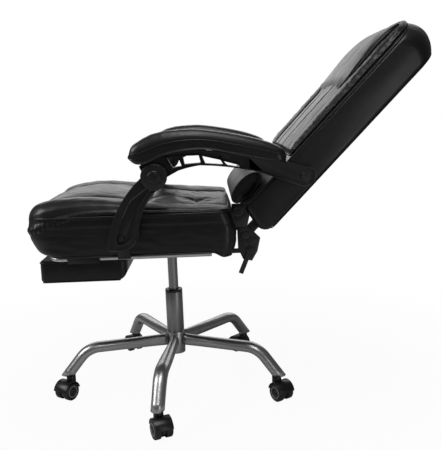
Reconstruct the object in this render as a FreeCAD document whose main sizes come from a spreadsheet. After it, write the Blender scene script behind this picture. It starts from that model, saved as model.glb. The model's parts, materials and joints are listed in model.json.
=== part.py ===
import FreeCAD, Part
import math
import os

import Sketcher
from FreeCAD import Placement, Rotation, Vector

# Reclining office chair with linkage armrests and a pull-out footrest, in millimetres.
# The origin is on the floor under the column, +Z is up, and the chair faces -Y, so its own left is +X.
# The chair stands as it is stored: back fully reclined, gas lift fully up, footrest under the seat.
# The back and what it carries are laid out upright, about the recline axis, and then leaned back.

DRIVING_SIZES = (
    # Five-leg base
    ("first_leg_turn", 65.8, "turn of the first leg from +X, degrees"),
    ("stem_circle", 312.0, "radius of the circle of caster stems"),
    ("leg_width", 36.0, "width of the oval leg tube"),
    ("leg_depth", 31.0, "height of the oval leg tube"),
    ("leg_wall", 2.0, "wall of the leg tube"),
    ("leg_level", 140.0, "height of the leg's level run"),
    ("leg_run", 225.0, "where the leg starts to bend, from the column"),
    ("leg_bend_radius", 70.0, "radius of the leg's bend"),
    ("leg_bend", 50.0, "turn of the leg's bend, degrees"),
    ("leg_tip", 68.0, "height of the leg's cut end"),
    ("hub_radius", 26.0, "outer radius of the hub"),
    ("mitre_gap", 0.4, "joint between two legs at the hub"),
    ("hub_bottom", 100.0, "underside of the hub"),
    ("hub_depth", 66.0, "height of the hub"),
    ("plug_depth", 14.0, "depth of the plug in the leg's end"),
    # Casters
    ("stem_radius", 5.5, "caster stem"),
    ("stem_reach", 20.0, "length of stem inside the hood"),
    ("wheel_radius", 25.5, "caster wheel"),
    ("wheel_width", 19.0, "width of one caster wheel"),
    ("caster_trail", 20.0, "from the stem to the axle"),
    ("web_width", 9.0, "web between the twin wheels"),
    ("hood_wall", 2.5, "wall of the hood over the wheels"),
    ("hood_collar_radius", 13.0, "collar of the hood under the leg"),
    ("collar_gap", 3.5, "from the collar to the leg's end"),
    ("axle_radius", 3.0, "caster axle"),
    # Gas lift
    ("tube_radius", 25.0, "outer tube of the gas lift"),
    ("tube_bore", 19.5, "inner radius of the outer tube"),
    ("tube_top", 287.0, "top of the outer tube"),
    ("tube_floor", 3.0, "floor of the outer tube"),
    ("taper_low", 21.5, "taper radius at the hub's underside"),
    ("taper_high", 22.5, "taper radius at the hub's top"),
    ("bush_depth", 60.0, "length of the guide bush in the tube"),
    ("bush_flange", 6.0, "collar of the guide bush on the tube"),
    ("cylinder_radius", 14.0, "gas cylinder"),
    ("cylinder_bore", 11.0, "inner radius of the gas cylinder"),
    ("cylinder_bottom", 208.0, "lower end of the cylinder, lift fully up"),
    ("cylinder_cap", 14.0, "end caps of the cylinder"),
    ("cylinder_taper", 40.0, "length of the taper in the control housing"),
    ("taper_tip_radius", 13.2, "top of the cylinder's taper"),
    ("rod_radius", 5.0, "piston rod"),
    ("piston_depth", 10.0, "piston at the top of the rod"),
    ("bearing_radius", 14.0, "thrust bearing"),
    ("bearing_depth", 6.0, "height of the thrust bearing"),
    ("rod_collar_radius", 9.0, "collar of the rod on the bearing"),
    ("clip_depth", 1.5, "thickness of the retaining clip"),
    # Control housing and seat board
    ("housing_width", 140.0, "width of the control housing"),
    ("housing_length", 180.0, "length of the control housing"),
    ("housing_centre", 10.0, "middle of the housing, from the column"),
    ("housing_depth", 42.0, "height of the control housing"),
    ("plate_wall", 4.0, "steel plate of the housing and the arm brackets"),
    ("flange_width", 200.0, "width of the housing's top plate"),
    ("board_bottom", 450.0, "underside of the seat board"),
    ("board_depth", 12.0, "thickness of the seat board"),
    ("board_width", 450.0, "width of the seat board"),
    ("board_front", -285.0, "front edge of the seat board"),
    ("board_back", 158.0, "rear edge of the seat board"),
    ("bolt_radius", 3.0, "seat bolts"),
    ("bolt_across", 170.0, "bolt spacing across the seat"),
    ("bolt_along", 140.0, "bolt spacing along the seat"),
    # Seat cushions
    ("seat_half_width", 255.0, "half the width of the seat"),
    ("seat_underside", 453.0, "underside of the seat's border"),
    ("seat_seam", 552.0, "seam between the border and the top cushion"),
    ("seat_front", -345.0, "front of the seat's border"),
    ("seat_back", 178.0, "rear of the seat's border"),
    ("seat_crown", 50.0, "crown of the top cushion over its seam"),
    ("seat_lane", 150.0, "seam between the middle and the side rolls"),
    # Recliner and lever
    ("recline_y", 204.0, "recline axis, from the column"),
    ("recline_z", 484.0, "height of the recline axis"),
    ("recline_lean", 44.3, "lean of the back from upright, degrees"),
    ("recliner_plate", 5.0, "thickness of the recliner plates"),
    ("recliner_across", 197.0, "inner face of the recliner's back plate"),
    ("recliner_pin_radius", 6.0, "recliner pin"),
    ("lever_plate", 5.0, "thickness of the recline lever"),
    ("lever_pin_radius", 4.0, "pin of the recline lever"),
    ("lever_width", 12.0, "width of the recline lever"),
    ("lever_reach", 64.0, "length of the recline lever"),
    # Back
    ("back_half_width", 250.0, "half the width of the back"),
    ("back_rear", 33.0, "rear face of the back, behind the recline axis"),
    ("back_front", 55.0, "front face of the border, before the recline axis"),
    ("back_bottom", 53.0, "lower end of the back above the recline axis"),
    ("back_side_top", 620.0, "upper end of the back at its sides"),
    ("back_top", 688.0, "upper end of the back in the middle"),
    ("back_top_swell", 20.0, "swell of the arched top between the back's faces"),
    ("back_drop", 20.0, "how much lower the back's rear edge is than its front edge"),
    ("frame_tube", 25.0, "square tube of the back frame"),
    ("pillow_half_width", 236.0, "half the width of the front pillow"),
    ("pillow_bottom", 226.0, "lower end of the front pillow"),
    ("pillow_depth", 18.0, "front pillow at its crown"),
    ("back_lane", 165.0, "seam between the middle and side rolls of the front pillow"),
    ("head_bottom", 436.0, "lower end of the head pillow"),
    ("head_depth", 20.0, "head pillow over the front pillow"),
    ("head_half_width", 170.0, "half the width of the head pillow"),
    ("lumbar_height", 102.0, "height of the lumbar roll"),
    ("lumbar_depth", 46.0, "thickness of the lumbar roll"),
    ("lumbar_half_length", 190.0, "half the length of the lumbar roll"),
    ("lumbar_centre", 92.0, "middle of the lumbar roll above the recline axis"),
    # Armrests
    ("arm_pivot_depth", 2.0, "arm pivot before the recline axis"),
    ("arm_pivot_height", 210.0, "arm pivot above the recline axis"),
    ("knob_y", -13.0, "knob pivot, from the column"),
    ("knob_z", 652.0, "height of the knob pivot"),
    ("foot_y", -101.0, "strut pivot, from the column"),
    ("foot_z", 503.0, "height of the strut pivot"),
    ("arm_inside", 256.0, "inner face of the arm frame"),
    ("arm_thickness", 20.0, "thickness of the arm frame"),
    ("strut_thickness", 22.0, "thickness of the strut"),
    ("strut_recess", 10.0, "depth of the strut's recess"),
    ("lug_radius", 26.0, "front lug of the arm frame"),
    ("rear_lug_radius", 24.0, "rear lug of the arm frame"),
    ("pad_half_width", 34.0, "half the width of the arm pad"),
    ("knob_radius", 31.5, "knob"),
    ("knob_depth", 12.0, "thickness of the knob"),
    ("arm_bolt_radius", 5.0, "knob bolt and strut stud"),
    ("open_pivot_radius", 8.0, "play of the knob bolt in the arm frame"),
    ("arm_pivot_radius", 6.0, "arm pivot bolt"),
    # Footrest
    ("slide_tube_radius", 7.0, "slide tubes of the footrest"),
    ("slide_height", 438.0, "height of the slide tubes"),
    ("slide_across", 200.0, "half the spacing of the slide tubes"),
    ("slide_front", -300.0, "front cross tube, the footrest's hinge"),
    ("slide_back", 117.0, "rear end of the slide tubes"),
    ("slide_bend", 30.0, "bend of the slide frame's corners"),
    ("guide_front", -255.0, "front of the footrest guides"),
    ("guide_back", -172.0, "rear of the footrest guides"),
    ("guide_width", 22.0, "width of a footrest guide"),
    ("guide_floor", 4.0, "wall of a guide under its tube"),
    ("rest_half_width", 180.0, "half the width of the footrest"),
    ("rest_length", 230.0, "length of the footrest"),
    ("rest_depth", 54.0, "thickness of the footrest pad"),
    ("rest_overhang", 38.0, "footrest before its hinge"),
    ("rest_board", 6.0, "footrest board"),
    ("hinge_wall", 3.5, "wall of the footrest hinges"),
    ("hinge_width", 40.0, "width of a footrest hinge"),
    # Lift lever
    ("lift_lever_y", 70.0, "lift lever, from the column"),
    ("lift_lever_z", 416.0, "height of the lift lever"),
    ("lift_lever_radius", 4.0, "rod of the lift lever"),
    ("lift_lever_play", 0.5, "play of the lift lever in the housing's wall, which it tilts in"),
    ("lift_lever_end", 268.0, "outer end of the lift lever's rod"),
    ("grip_length", 62.0, "length of the lift lever's grip"),
    ("grip_width", 24.0, "width of the lift lever's grip"),
    # Clearances
    ("running_gap", 0.3, "play between pieces that move on each other"),
    ("wheel_gap", 1.2, "play between a wheel and its hood"),
)

doc = FreeCAD.newDocument("reclining_office_chair")
sheet = doc.addObject("Spreadsheet::Sheet", "sizes")
for row, (alias, number, meaning) in enumerate(DRIVING_SIZES, start=1):
    sheet.set("A%d" % row, meaning)
    sheet.set("B%d" % row, str(number))
    sheet.setAlias("B%d" % row, alias)
doc.recompute()


class Size:
    """A number from the sheet together with the expression that gives it."""

    def __init__(self, number, text):
        self.number = number
        self.text = text

    def __float__(self):
        return self.number

    def __add__(self, other):
        other = as_size(other)
        return Size(self.number + other.number, "(%s + %s)" % (self.text, other.text))

    def __sub__(self, other):
        other = as_size(other)
        return Size(self.number - other.number, "(%s - %s)" % (self.text, other.text))

    def __mul__(self, factor):
        factor = as_size(factor)
        return Size(self.number * factor.number, "(%s * %s)" % (self.text, factor.text))

    def __truediv__(self, factor):
        factor = as_size(factor)
        return Size(self.number / factor.number, "(%s / %s)" % (self.text, factor.text))

    def __neg__(self):
        return Size(-self.number, "(0 - %s)" % self.text)

    __radd__ = __add__

    def __rsub__(self, other):
        return as_size(other) - self


class Sheet:
    """Reads a driving size by its name."""

    def __getattr__(self, alias):
        return Size(float(sheet.get(alias)), "sizes." + alias)


def as_size(amount):
    if isinstance(amount, Size):
        return amount
    return Size(float(amount), "(%.6f)" % amount)


s = Sheet()
nodes = []

ALONG_X = Rotation(Vector(0, 1, 0), 90)
ALONG_Y = Rotation(Vector(1, 0, 0), -90)
LEFT = 1
RIGHT = -1
SIDES = ((LEFT, "left"), (RIGHT, "right"))


# Shared places

recline_axis = (s.recline_y, s.recline_z)
knob_pivot = (s.knob_y, s.knob_z)
strut_pivot = (s.foot_y, s.foot_z)
housing_top = s.board_bottom
cylinder_top = housing_top - s.plate_wall - 8
tube_inside = s.hub_bottom + s.tube_floor
bearing_top = tube_inside + s.bearing_depth
arm_outside = s.arm_inside + s.arm_thickness
strut_inside = arm_outside + 2
strut_outside = strut_inside + s.strut_thickness
back_plate_outside = s.recliner_across + s.recliner_plate
seat_plate_inside = back_plate_outside + 0.5
seat_plate_outside = seat_plate_inside + s.recliner_plate
wheel_inside = s.web_width / 2 + 1
wheel_outside = wheel_inside + s.wheel_width
hood_radius = s.wheel_radius + s.wheel_gap + s.hood_wall
collar_top = s.leg_tip - s.collar_gap
rest_top = s.slide_height - s.slide_tube_radius - 1
lean = Placement(Vector(0, float(s.recline_y), float(s.recline_z)), Rotation(Vector(1, 0, 0), -float(s.recline_lean)))


def leaned(depth, height):
    """The Y and Z of a point that is given on the upright back."""
    point = lean.multVec(Vector(0, float(depth), float(height)))
    return point.y, point.z


arm_pivot = leaned(-s.arm_pivot_depth, s.arm_pivot_height)


# Builders

def keep(piece, label):
    piece.Label = label
    nodes.append(piece)
    return piece


def place(piece, x=0, y=0, z=0, rotation=Rotation()):
    piece.Placement = Placement(Vector(float(x), float(y), float(z)), rotation)
    for letter, amount in zip("xyz", (x, y, z)):
        if isinstance(amount, Size):
            piece.setExpression("Placement.Base." + letter, amount.text)


def box(name, low, high):
    """A box between two corners, each a triple of sizes."""
    piece = doc.addObject("Part::Box", name)
    for prop, start, end in zip(("Length", "Width", "Height"), low, high):
        piece.setExpression(prop, (as_size(end) - start).text)
    place(piece, *[as_size(amount) for amount in low])
    return piece


def rod(name, radius, length, x=0, y=0, z=0, rotation=Rotation()):
    piece = doc.addObject("Part::Cylinder", name)
    piece.setExpression("Radius", as_size(radius).text)
    piece.setExpression("Height", as_size(length).text)
    place(piece, as_size(x), as_size(y), as_size(z), rotation)
    return piece


def fused(name, pieces):
    piece = doc.addObject("Part::MultiFuse", name)
    piece.Shapes = pieces
    return piece


def cut(name, base, tool):
    piece = doc.addObject("Part::Cut", name)
    piece.Base = base
    piece.Tool = tool
    return piece


def grouped(name, pieces):
    piece = doc.addObject("Part::Compound", name)
    piece.Links = pieces
    return piece


def formed(name, shape, placement=Placement()):
    """A piece whose shape is worked out here, with its place set after its shape."""
    piece = doc.addObject("Part::Feature", name)
    piece.Shape = shape
    piece.Placement = placement
    return piece


def new_sketch(body, name, role, offset=0):
    plane = [feature for feature in body.Origin.OriginFeatures if feature.Role == role][0]
    sketch = body.newObject("Sketcher::SketchObject", name)
    sketch.AttachmentSupport = [(plane, "")]
    sketch.MapMode = "FlatFace"
    sketch.AttachmentOffset = Placement(Vector(0, 0, float(offset)), Rotation())
    if isinstance(offset, Size):
        sketch.setExpression("AttachmentOffset.Base.z", offset.text)
    return sketch


def draw_polygon(sketch, points):
    """Straight lines through points whose coordinates are bound to the sheet."""
    first = sketch.GeometryCount
    count = len(points)
    ends = [Vector(float(x), float(y), 0) for x, y in points]
    for index in range(count):
        sketch.addGeometry(Part.LineSegment(ends[index], ends[(index + 1) % count]), False)
    for index in range(count):
        following = first + (index + 1) % count
        sketch.addConstraint(Sketcher.Constraint("Coincident", first + index, 2, following, 1))
    for index, point in enumerate(points):
        for kind, amount in zip(("DistanceX", "DistanceY"), point):
            rule = Sketcher.Constraint(kind, -1, 1, first + index, 1, float(amount))
            number = sketch.addConstraint(rule)
            sketch.setExpression("Constraints[%d]" % number, as_size(amount).text)


def draw_circle(sketch, x, y, radius):
    centre = Vector(float(x), float(y), 0)
    index = sketch.addGeometry(Part.Circle(centre, Vector(0, 0, 1), float(radius)), False)
    rules = (
        (Sketcher.Constraint("Radius", index, float(radius)), radius),
        (Sketcher.Constraint("DistanceX", -1, 1, index, 3, float(x)), x),
        (Sketcher.Constraint("DistanceY", -1, 1, index, 3, float(y)), y),
    )
    for rule, amount in rules:
        number = sketch.addConstraint(rule)
        sketch.setExpression("Constraints[%d]" % number, as_size(amount).text)


def flat_arc(first, middle, last):
    """The arc through three points of a sketch, always drawn counterclockwise."""
    curve = Part.Arc(first, middle, last).toShape().Curve
    if (middle - first).cross(last - middle).z < 0:
        first, last = last, first
    level = Part.Circle(curve.Center, Vector(0, 0, 1), curve.Radius)
    return Part.ArcOfCircle(level, level.parameter(first), level.parameter(last))


def draw_outline(sketch, start, steps):
    """A closed outline: a step is an end, or a point on the way and an end for an arc."""
    begin = Vector(float(start[0]), float(start[1]), 0)
    here = begin
    for step in steps:
        stops = [Vector(float(y), float(z), 0) for y, z in step]
        if len(stops) == 1:
            sketch.addGeometry(Part.LineSegment(here, stops[0]), False)
        else:
            sketch.addGeometry(flat_arc(here, *stops), False)
        here = stops[-1]
    if (here - begin).Length > 0.001:
        sketch.addGeometry(Part.LineSegment(here, begin), False)


def turned(name, points):
    """A body of revolution about its own Z axis, from a profile of radius and height."""
    body = doc.addObject("PartDesign::Body", name)
    sketch = new_sketch(body, name + "_profile", "XZ_Plane")
    draw_polygon(sketch, points)
    feature = body.newObject("PartDesign::Revolution", name + "_turn")
    feature.Profile = sketch
    feature.ReferenceAxis = (sketch, ["V_Axis"])
    feature.Angle = 360
    return body


def side_pad(body, name, inside, thickness, drawing):
    """Pads what drawing makes in the side view, outwards from the plane at inside."""
    sketch = new_sketch(body, name + "_outline", "YZ_Plane", inside)
    drawing(sketch)
    feature = body.newObject("PartDesign::Pad", name)
    feature.Profile = sketch
    feature.setExpression("Length", as_size(thickness).text)
    body.Tip = feature
    return feature


def side_pocket(body, name, plane, depth, drawing):
    """Cuts what drawing makes in the side view, inwards from the plane towards the middle."""
    sketch = new_sketch(body, name + "_outline", "YZ_Plane", plane)
    drawing(sketch)
    doc.recompute()
    before = body.Shape.Volume
    feature = body.newObject("PartDesign::Pocket", name)
    feature.Profile = sketch
    feature.setExpression("Length", as_size(depth).text)
    body.Tip = feature
    doc.recompute()
    if body.Shape.Volume > before - 1:
        raise RuntimeError("%s cuts nothing" % name)
    return feature


def on_side(side, inside, thickness):
    """The X of a plate's low face, for a plate that lies between inside and inside + thickness."""
    if side == LEFT:
        return as_size(inside)
    return -(as_size(inside) + thickness)


def loft(wires, ruled=False):
    return Part.makeLoft(wires, True, ruled)


def arc(first, middle, last):
    return Part.Arc(first, middle, last).toShape()


def line(first, last):
    return Part.LineSegment(first, last).toShape()


def cushion_wire(spot, half_width, low, side, crown, corner=4.0):
    """A cushion's cross-section: flat below, bulged at the sides and crowned on top."""
    w = float(half_width)
    low, side, crown = float(low), float(side), float(crown)
    middle = (low + side) / 2
    return Part.Wire([
        line(spot(-w + corner, low), spot(w - corner, low)),
        arc(spot(w - corner, low), spot(w, middle), spot(w - corner, side)),
        arc(spot(w - corner, side), spot(0, crown), spot(-w + corner, side)),
        arc(spot(-w + corner, side), spot(-w, middle), spot(-w + corner, low)),
    ])


def quilted_wire(spot, half_width, lane, low, side, roll, valley, crown, corner=5.0):
    """A cushion's cross-section with a side roll on each hand of the crowned middle."""
    w, v = float(half_width), float(lane)
    outer = w - corner
    middle = (low + side) / 2
    return Part.Wire([
        line(spot(-outer, low), spot(outer, low)),
        arc(spot(outer, low), spot(w, middle), spot(outer, side)),
        arc(spot(outer, side), spot((outer + v) / 2, roll), spot(v, valley)),
        arc(spot(v, valley), spot(0, crown), spot(-v, valley)),
        arc(spot(-v, valley), spot(-(outer + v) / 2, roll), spot(-outer, side)),
        arc(spot(-outer, side), spot(-w, middle), spot(-outer, low)),
    ])


def softened(shape, radius, chosen):
    """Rounds the edges that the test picks."""
    edges = [edge for edge in shape.Edges if chosen(edge)]
    return shape.makeFillet(radius, edges)


# Base

def make_hub():
    top = s.hub_bottom + s.hub_depth
    keep(turned("base_hub", [
        (s.taper_low, s.hub_bottom),
        (s.hub_radius, s.hub_bottom),
        (s.hub_radius, top),
        (s.taper_high, top),
    ]), "base_hub")


def bent_tube(name, half_width, half_depth, wall):
    """A bent oval tube in its own XZ plane, hollow where wall is given, running past its cut end."""
    body = doc.addObject("PartDesign::Body", name)
    profile = new_sketch(body, name + "_oval", "YZ_Plane", s.hub_radius / 2)
    centre = Vector(0, float(s.leg_level), 0)
    ovals = [(float(half_width), float(half_depth))]
    if wall:
        ovals.append((float(half_width - wall), float(half_depth - wall)))
    for wide, deep in ovals:
        corner_a = centre + Vector(wide, 0, 0)
        corner_b = centre + Vector(0, deep, 0)
        profile.addGeometry(Part.Ellipse(corner_a, corner_b, centre), False)
    path = new_sketch(body, name + "_path", "XZ_Plane")
    radius = float(s.leg_bend_radius)
    bend = math.radians(float(s.leg_bend))
    start = Vector(float(s.hub_radius / 2), float(s.leg_level), 0)
    turn = Vector(float(s.leg_run), float(s.leg_level), 0)
    pivot = turn - Vector(0, radius, 0)
    leave = pivot + Vector(radius * math.sin(bend), radius * math.cos(bend), 0)
    drop = (leave.y - float(s.leg_tip) + float(s.leg_width)) / math.sin(bend)
    end = leave + Vector(math.cos(bend), -math.sin(bend), 0) * drop
    path.addGeometry(Part.LineSegment(start, turn), False)
    bend_circle = Part.Circle(pivot, Vector(0, 0, 1), radius)
    path.addGeometry(Part.ArcOfCircle(bend_circle, math.pi / 2 - bend, math.pi / 2), False)
    path.addGeometry(Part.LineSegment(leave, end), False)
    path.addConstraint(Sketcher.Constraint("Coincident", 0, 2, 1, 2))
    path.addConstraint(Sketcher.Constraint("Coincident", 1, 1, 2, 1))
    pipe = body.newObject("PartDesign::AdditivePipe", name + "_sweep")
    pipe.Profile = profile
    pipe.Spine = path
    return body


def leg_turn(index):
    return s.first_leg_turn + 72 * index


def turn_with_leg(piece, index):
    piece.Placement = Placement(Vector(), Rotation(Vector(0, 0, 1), float(leg_turn(index))))
    piece.setExpression("Placement.Rotation.Angle", leg_turn(index).text)


def mitre_turn(side):
    """Turns a block so that its edge lies halfway between two legs."""
    return Placement(Vector(), Rotation(Vector(0, 0, 1), side * 36))


def make_legs():
    reach = s.stem_circle + 100
    for index in range(5):
        name = "base_leg_%d" % (index + 1)
        tube = bent_tube(name + "_tube", s.leg_width / 2, s.leg_depth / 2, s.leg_wall)
        hub_room = rod(name + "_hub_room", s.hub_radius, s.leg_level * 2)
        floor_room = box(name + "_floor_room", (0, -s.leg_width, 0), (reach, s.leg_width, s.leg_tip))
        mitres = []
        for side, word in SIDES:
            beside = on_side(side, -s.mitre_gap / 2, s.leg_width)
            mitre = box(name + "_mitre_" + word, (0, beside, 0),
                        (s.leg_width * 2, beside + s.leg_width, s.leg_level * 2))
            mitre.Placement = mitre_turn(side).multiply(mitre.Placement)
            mitre.setExpression("Placement.Base.x", None)
            mitre.setExpression("Placement.Base.y", None)
            mitres.append(mitre)
        away = fused(name + "_away", [hub_room, floor_room] + mitres)
        leg = cut(name, tube, away)
        turn_with_leg(leg, index)
        keep(leg, name)


def make_leg_inserts():
    """A plug that fills each leg's open end and holds the caster's stem."""
    plugs = []
    for index in range(5):
        name = "leg_plug_%d" % (index + 1)
        wide = s.leg_width / 2 - s.leg_wall
        deep = s.leg_depth / 2 - s.leg_wall
        core = bent_tube(name + "_core", wide, deep, None)
        slab = box(name + "_slab", (s.leg_run, -s.leg_width, s.leg_tip),
                   (s.stem_circle + 100, s.leg_width, s.leg_tip + s.plug_depth))
        plug = doc.addObject("Part::Common", name + "_blank")
        plug.Base = core
        plug.Tool = slab
        hole = rod(name + "_hole", s.stem_radius, s.leg_level, x=s.stem_circle)
        bored = cut(name, plug, hole)
        turn_with_leg(bored, index)
        plugs.append(bored)
    keep(grouped("leg_end_inserts", plugs), "leg_end_inserts")


def make_stems():
    stems = []
    low = collar_top - s.stem_reach
    length = s.leg_tip + s.plug_depth - low
    for index in range(5):
        angle = math.radians(float(leg_turn(index)))
        name = "stem_%d" % (index + 1)
        stem = doc.addObject("Part::Cylinder", name)
        stem.setExpression("Radius", s.stem_radius.text)
        stem.setExpression("Height", length.text)
        place(stem, s.stem_circle * math.cos(angle), s.stem_circle * math.sin(angle), low)
        stems.append(stem)
    keep(grouped("caster_stems", stems), "caster_stems")


# Casters, each turned as it stands in the photograph

CASTER_TURNS = (33.0, -135.0, -150.0, -32.0, 23.0)


def caster_place(index):
    angle = math.radians(float(leg_turn(index)))
    reach = float(s.stem_circle)
    spot = Vector(reach * math.cos(angle), reach * math.sin(angle), 0)
    return Placement(spot, Rotation(Vector(0, 0, 1), CASTER_TURNS[index]))


def across(radius, half_width, x, z):
    """A cylinder across the caster, about its axle."""
    start = Vector(float(x), -float(half_width), float(z))
    return Part.makeCylinder(float(radius), 2 * float(half_width), start, Vector(0, 1, 0))


def hood_shape():
    """The hood over both wheels, the web between them and the collar for the stem."""
    trail, axle_z = float(s.caster_trail), float(s.wheel_radius)
    radius = float(hood_radius)
    half = float(wheel_outside) - 1
    dome = across(radius, half, trail, axle_z)
    above = Part.makeBox(4 * radius, 2 * half, 2 * radius, Vector(trail - 2 * radius, -half, axle_z + 5))
    dome = dome.common(above)
    web = across(axle_z - 4, s.web_width / 2, trail, axle_z)
    collar_low = axle_z + 10
    collar = Part.makeCylinder(float(s.hood_collar_radius), float(collar_top) - collar_low,
                               Vector(0, 0, collar_low))
    body = dome.fuse([web, collar])
    room = axle_z + float(s.wheel_gap)
    for direction in (1, -1):
        start = Vector(trail, direction * float(s.web_width) / 2, axle_z)
        body = body.cut(Part.makeCylinder(room, 2 * half, start, Vector(0, direction, 0)))
    low = float(collar_top - s.stem_reach - s.running_gap)
    stem_room = Part.makeCylinder(float(s.stem_radius + s.running_gap), float(s.leg_tip), Vector(0, 0, low))
    axle_room = across(s.axle_radius + s.running_gap, half, trail, axle_z)
    return body.cut([stem_room, axle_room])


def wheel(name, side):
    """One wheel about its own Z axis, with a rounded tread and a dished outer face."""
    radius, low, high = s.wheel_radius, wheel_inside, wheel_outside
    body = turned(name, [
        (s.axle_radius, low),
        (radius - 3, low),
        (radius, low + 3),
        (radius, high - 3),
        (radius - 2, high - 1),
        (radius - 5, high),
        (radius - 7, high - 2),
        (s.axle_radius + 5, high - 2),
        (s.axle_radius + 4, high - 1),
        (s.axle_radius, high - 1),
    ])
    place(body, s.caster_trail, 0, s.wheel_radius, Rotation(Vector(1, 0, 0), -90 * side))
    return body


def make_casters():
    shape = hood_shape()
    for index in range(5):
        spot = caster_place(index)
        number = index + 1
        keep(formed("caster_hood_%d" % number, shape, spot), "caster_hood_%d" % number)
        pair = grouped("caster_wheels_%d" % number, [
            wheel("wheel_a_%d" % number, LEFT),
            wheel("wheel_b_%d" % number, RIGHT),
        ])
        pair.Placement = spot
        keep(pair, "caster_wheels_%d" % number)
        half = wheel_outside - 1
        pin = rod("axle_pin_%d" % number, s.axle_radius, half * 2, s.caster_trail, -half, s.wheel_radius, ALONG_Y)
        axle = grouped("caster_axle_%d" % number, [pin])
        axle.Placement = spot
        keep(axle, "caster_axle_%d" % number)


# Gas lift

def make_gas_lift():
    hub_top = s.hub_bottom + s.hub_depth
    bore = s.rod_radius + s.running_gap
    keep(turned("gas_lift_outer_tube", [
        (bore, s.hub_bottom),
        (s.taper_low, s.hub_bottom),
        (s.taper_high, hub_top),
        (s.tube_radius, hub_top),
        (s.tube_radius, s.tube_top),
        (s.tube_bore, s.tube_top),
        (s.tube_bore, tube_inside),
        (bore, tube_inside),
    ]), "gas_lift_outer_tube")
    guide = s.cylinder_radius + s.running_gap
    keep(turned("gas_lift_guide_bush", [
        (guide, s.tube_top - s.bush_depth),
        (s.tube_bore, s.tube_top - s.bush_depth),
        (s.tube_bore, s.tube_top),
        (s.tube_radius, s.tube_top),
        (s.tube_radius, s.tube_top + s.bush_flange),
        (guide, s.tube_top + s.bush_flange),
    ]), "gas_lift_guide_bush")
    keep(turned("thrust_bearing", [
        (bore, tube_inside),
        (s.bearing_radius, tube_inside),
        (s.bearing_radius, bearing_top),
        (bore, bearing_top),
    ]), "thrust_bearing")


def make_piston_rod():
    gap = s.running_gap
    clip_top = s.hub_bottom - gap
    clip_bottom = clip_top - s.clip_depth
    collar = bearing_top + gap
    piston_low = s.cylinder_bottom + s.cylinder_cap + gap
    piston_top = piston_low + s.piston_depth
    piston_radius = s.cylinder_bore - gap
    keep(turned("gas_lift_piston_rod", [
        (0, clip_bottom - 1),
        (s.rod_radius, clip_bottom - 1),
        (s.rod_radius, collar),
        (s.rod_collar_radius, collar),
        (s.rod_collar_radius, collar + 4),
        (s.rod_radius, collar + 4),
        (s.rod_radius, piston_low),
        (piston_radius, piston_low),
        (piston_radius, piston_top),
        (0, piston_top),
    ]), "gas_lift_piston_rod")
    keep(turned("rod_retaining_clip", [
        (s.rod_radius, clip_bottom),
        (s.rod_collar_radius, clip_bottom),
        (s.rod_collar_radius, clip_top),
        (s.rod_radius, clip_top),
    ]), "rod_retaining_clip")


def make_cylinder():
    """The gas cylinder, with the release pin on top."""
    low = s.cylinder_bottom
    keep(turned("gas_lift_cylinder", [
        (s.rod_radius + s.running_gap, low),
        (s.cylinder_radius, low),
        (s.cylinder_radius, cylinder_top - s.cylinder_taper),
        (s.taper_tip_radius, cylinder_top),
        (4, cylinder_top),
        (4, cylinder_top + 4),
        (0, cylinder_top + 4),
        (0, cylinder_top - s.cylinder_cap),
        (s.cylinder_bore, cylinder_top - s.cylinder_cap),
        (s.cylinder_bore, low + s.cylinder_cap),
        (s.rod_radius + s.running_gap, low + s.cylinder_cap),
    ]), "gas_lift_cylinder")


# Mechanism and seat board

def bolt_spots():
    for x in (-s.bolt_across / 2, s.bolt_across / 2):
        for y in (s.housing_centre - s.bolt_along / 2, s.housing_centre + s.bolt_along / 2):
            yield x, y


def make_housing():
    """A steel box, open below, with a flanged top plate, a taper socket and an eye for the lift lever."""
    half, wall = s.housing_width / 2, s.plate_wall
    front = s.housing_centre - s.housing_length / 2
    rear = front + s.housing_length
    low = housing_top - s.housing_depth
    shell = box("housing_shell", (-half, front, low), (half, rear, housing_top))
    flange = box("housing_flange", (-s.flange_width / 2, front, housing_top - wall),
                 (s.flange_width / 2, rear, housing_top))
    hollow = box("housing_hollow", (-half + wall, front + wall, low - 1),
                 (half - wall, rear - wall, housing_top - wall))
    walls = cut("housing_walls", fused("housing_outside", [shell, flange]), hollow)
    socket_radius = s.cylinder_radius + 6
    socket = rod("housing_socket", socket_radius, housing_top - wall - low, z=low)
    taper_low = cylinder_top - s.cylinder_taper
    taper = doc.addObject("Part::Cone", "housing_taper")
    taper.setExpression("Radius1", s.cylinder_radius.text)
    taper.setExpression("Radius2", s.taper_tip_radius.text)
    taper.setExpression("Height", s.cylinder_taper.text)
    place(taper, 0, 0, taper_low)
    pin_room = rod("housing_pin_room", s.taper_tip_radius, 8, z=cylinder_top)
    eye = rod("housing_lever_eye", s.lift_lever_radius + s.lift_lever_play, wall * 3, x=-half - wall,
              y=s.lift_lever_y, z=s.lift_lever_z, rotation=ALONG_X)
    holes = [rod("housing_hole_%d" % number, s.bolt_radius, 20, x, y, housing_top - 10)
             for number, (x, y) in enumerate(bolt_spots())]
    solid = fused("housing_solid", [walls, socket])
    openings = fused("housing_openings", [taper, pin_room, eye] + holes)
    keep(cut("control_housing", solid, openings), "control_housing")


def make_seat_board():
    low, high = s.board_bottom, s.board_bottom + s.board_depth
    sheet_of_wood = box("board_blank", (-s.board_width / 2, s.board_front, low),
                        (s.board_width / 2, s.board_back, high))
    holes = [rod("board_hole_%d" % number, s.bolt_radius, 30, x, y, low - 5)
             for number, (x, y) in enumerate(bolt_spots())]
    keep(cut("seat_board", sheet_of_wood, fused("board_holes", holes)), "seat_board")


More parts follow.
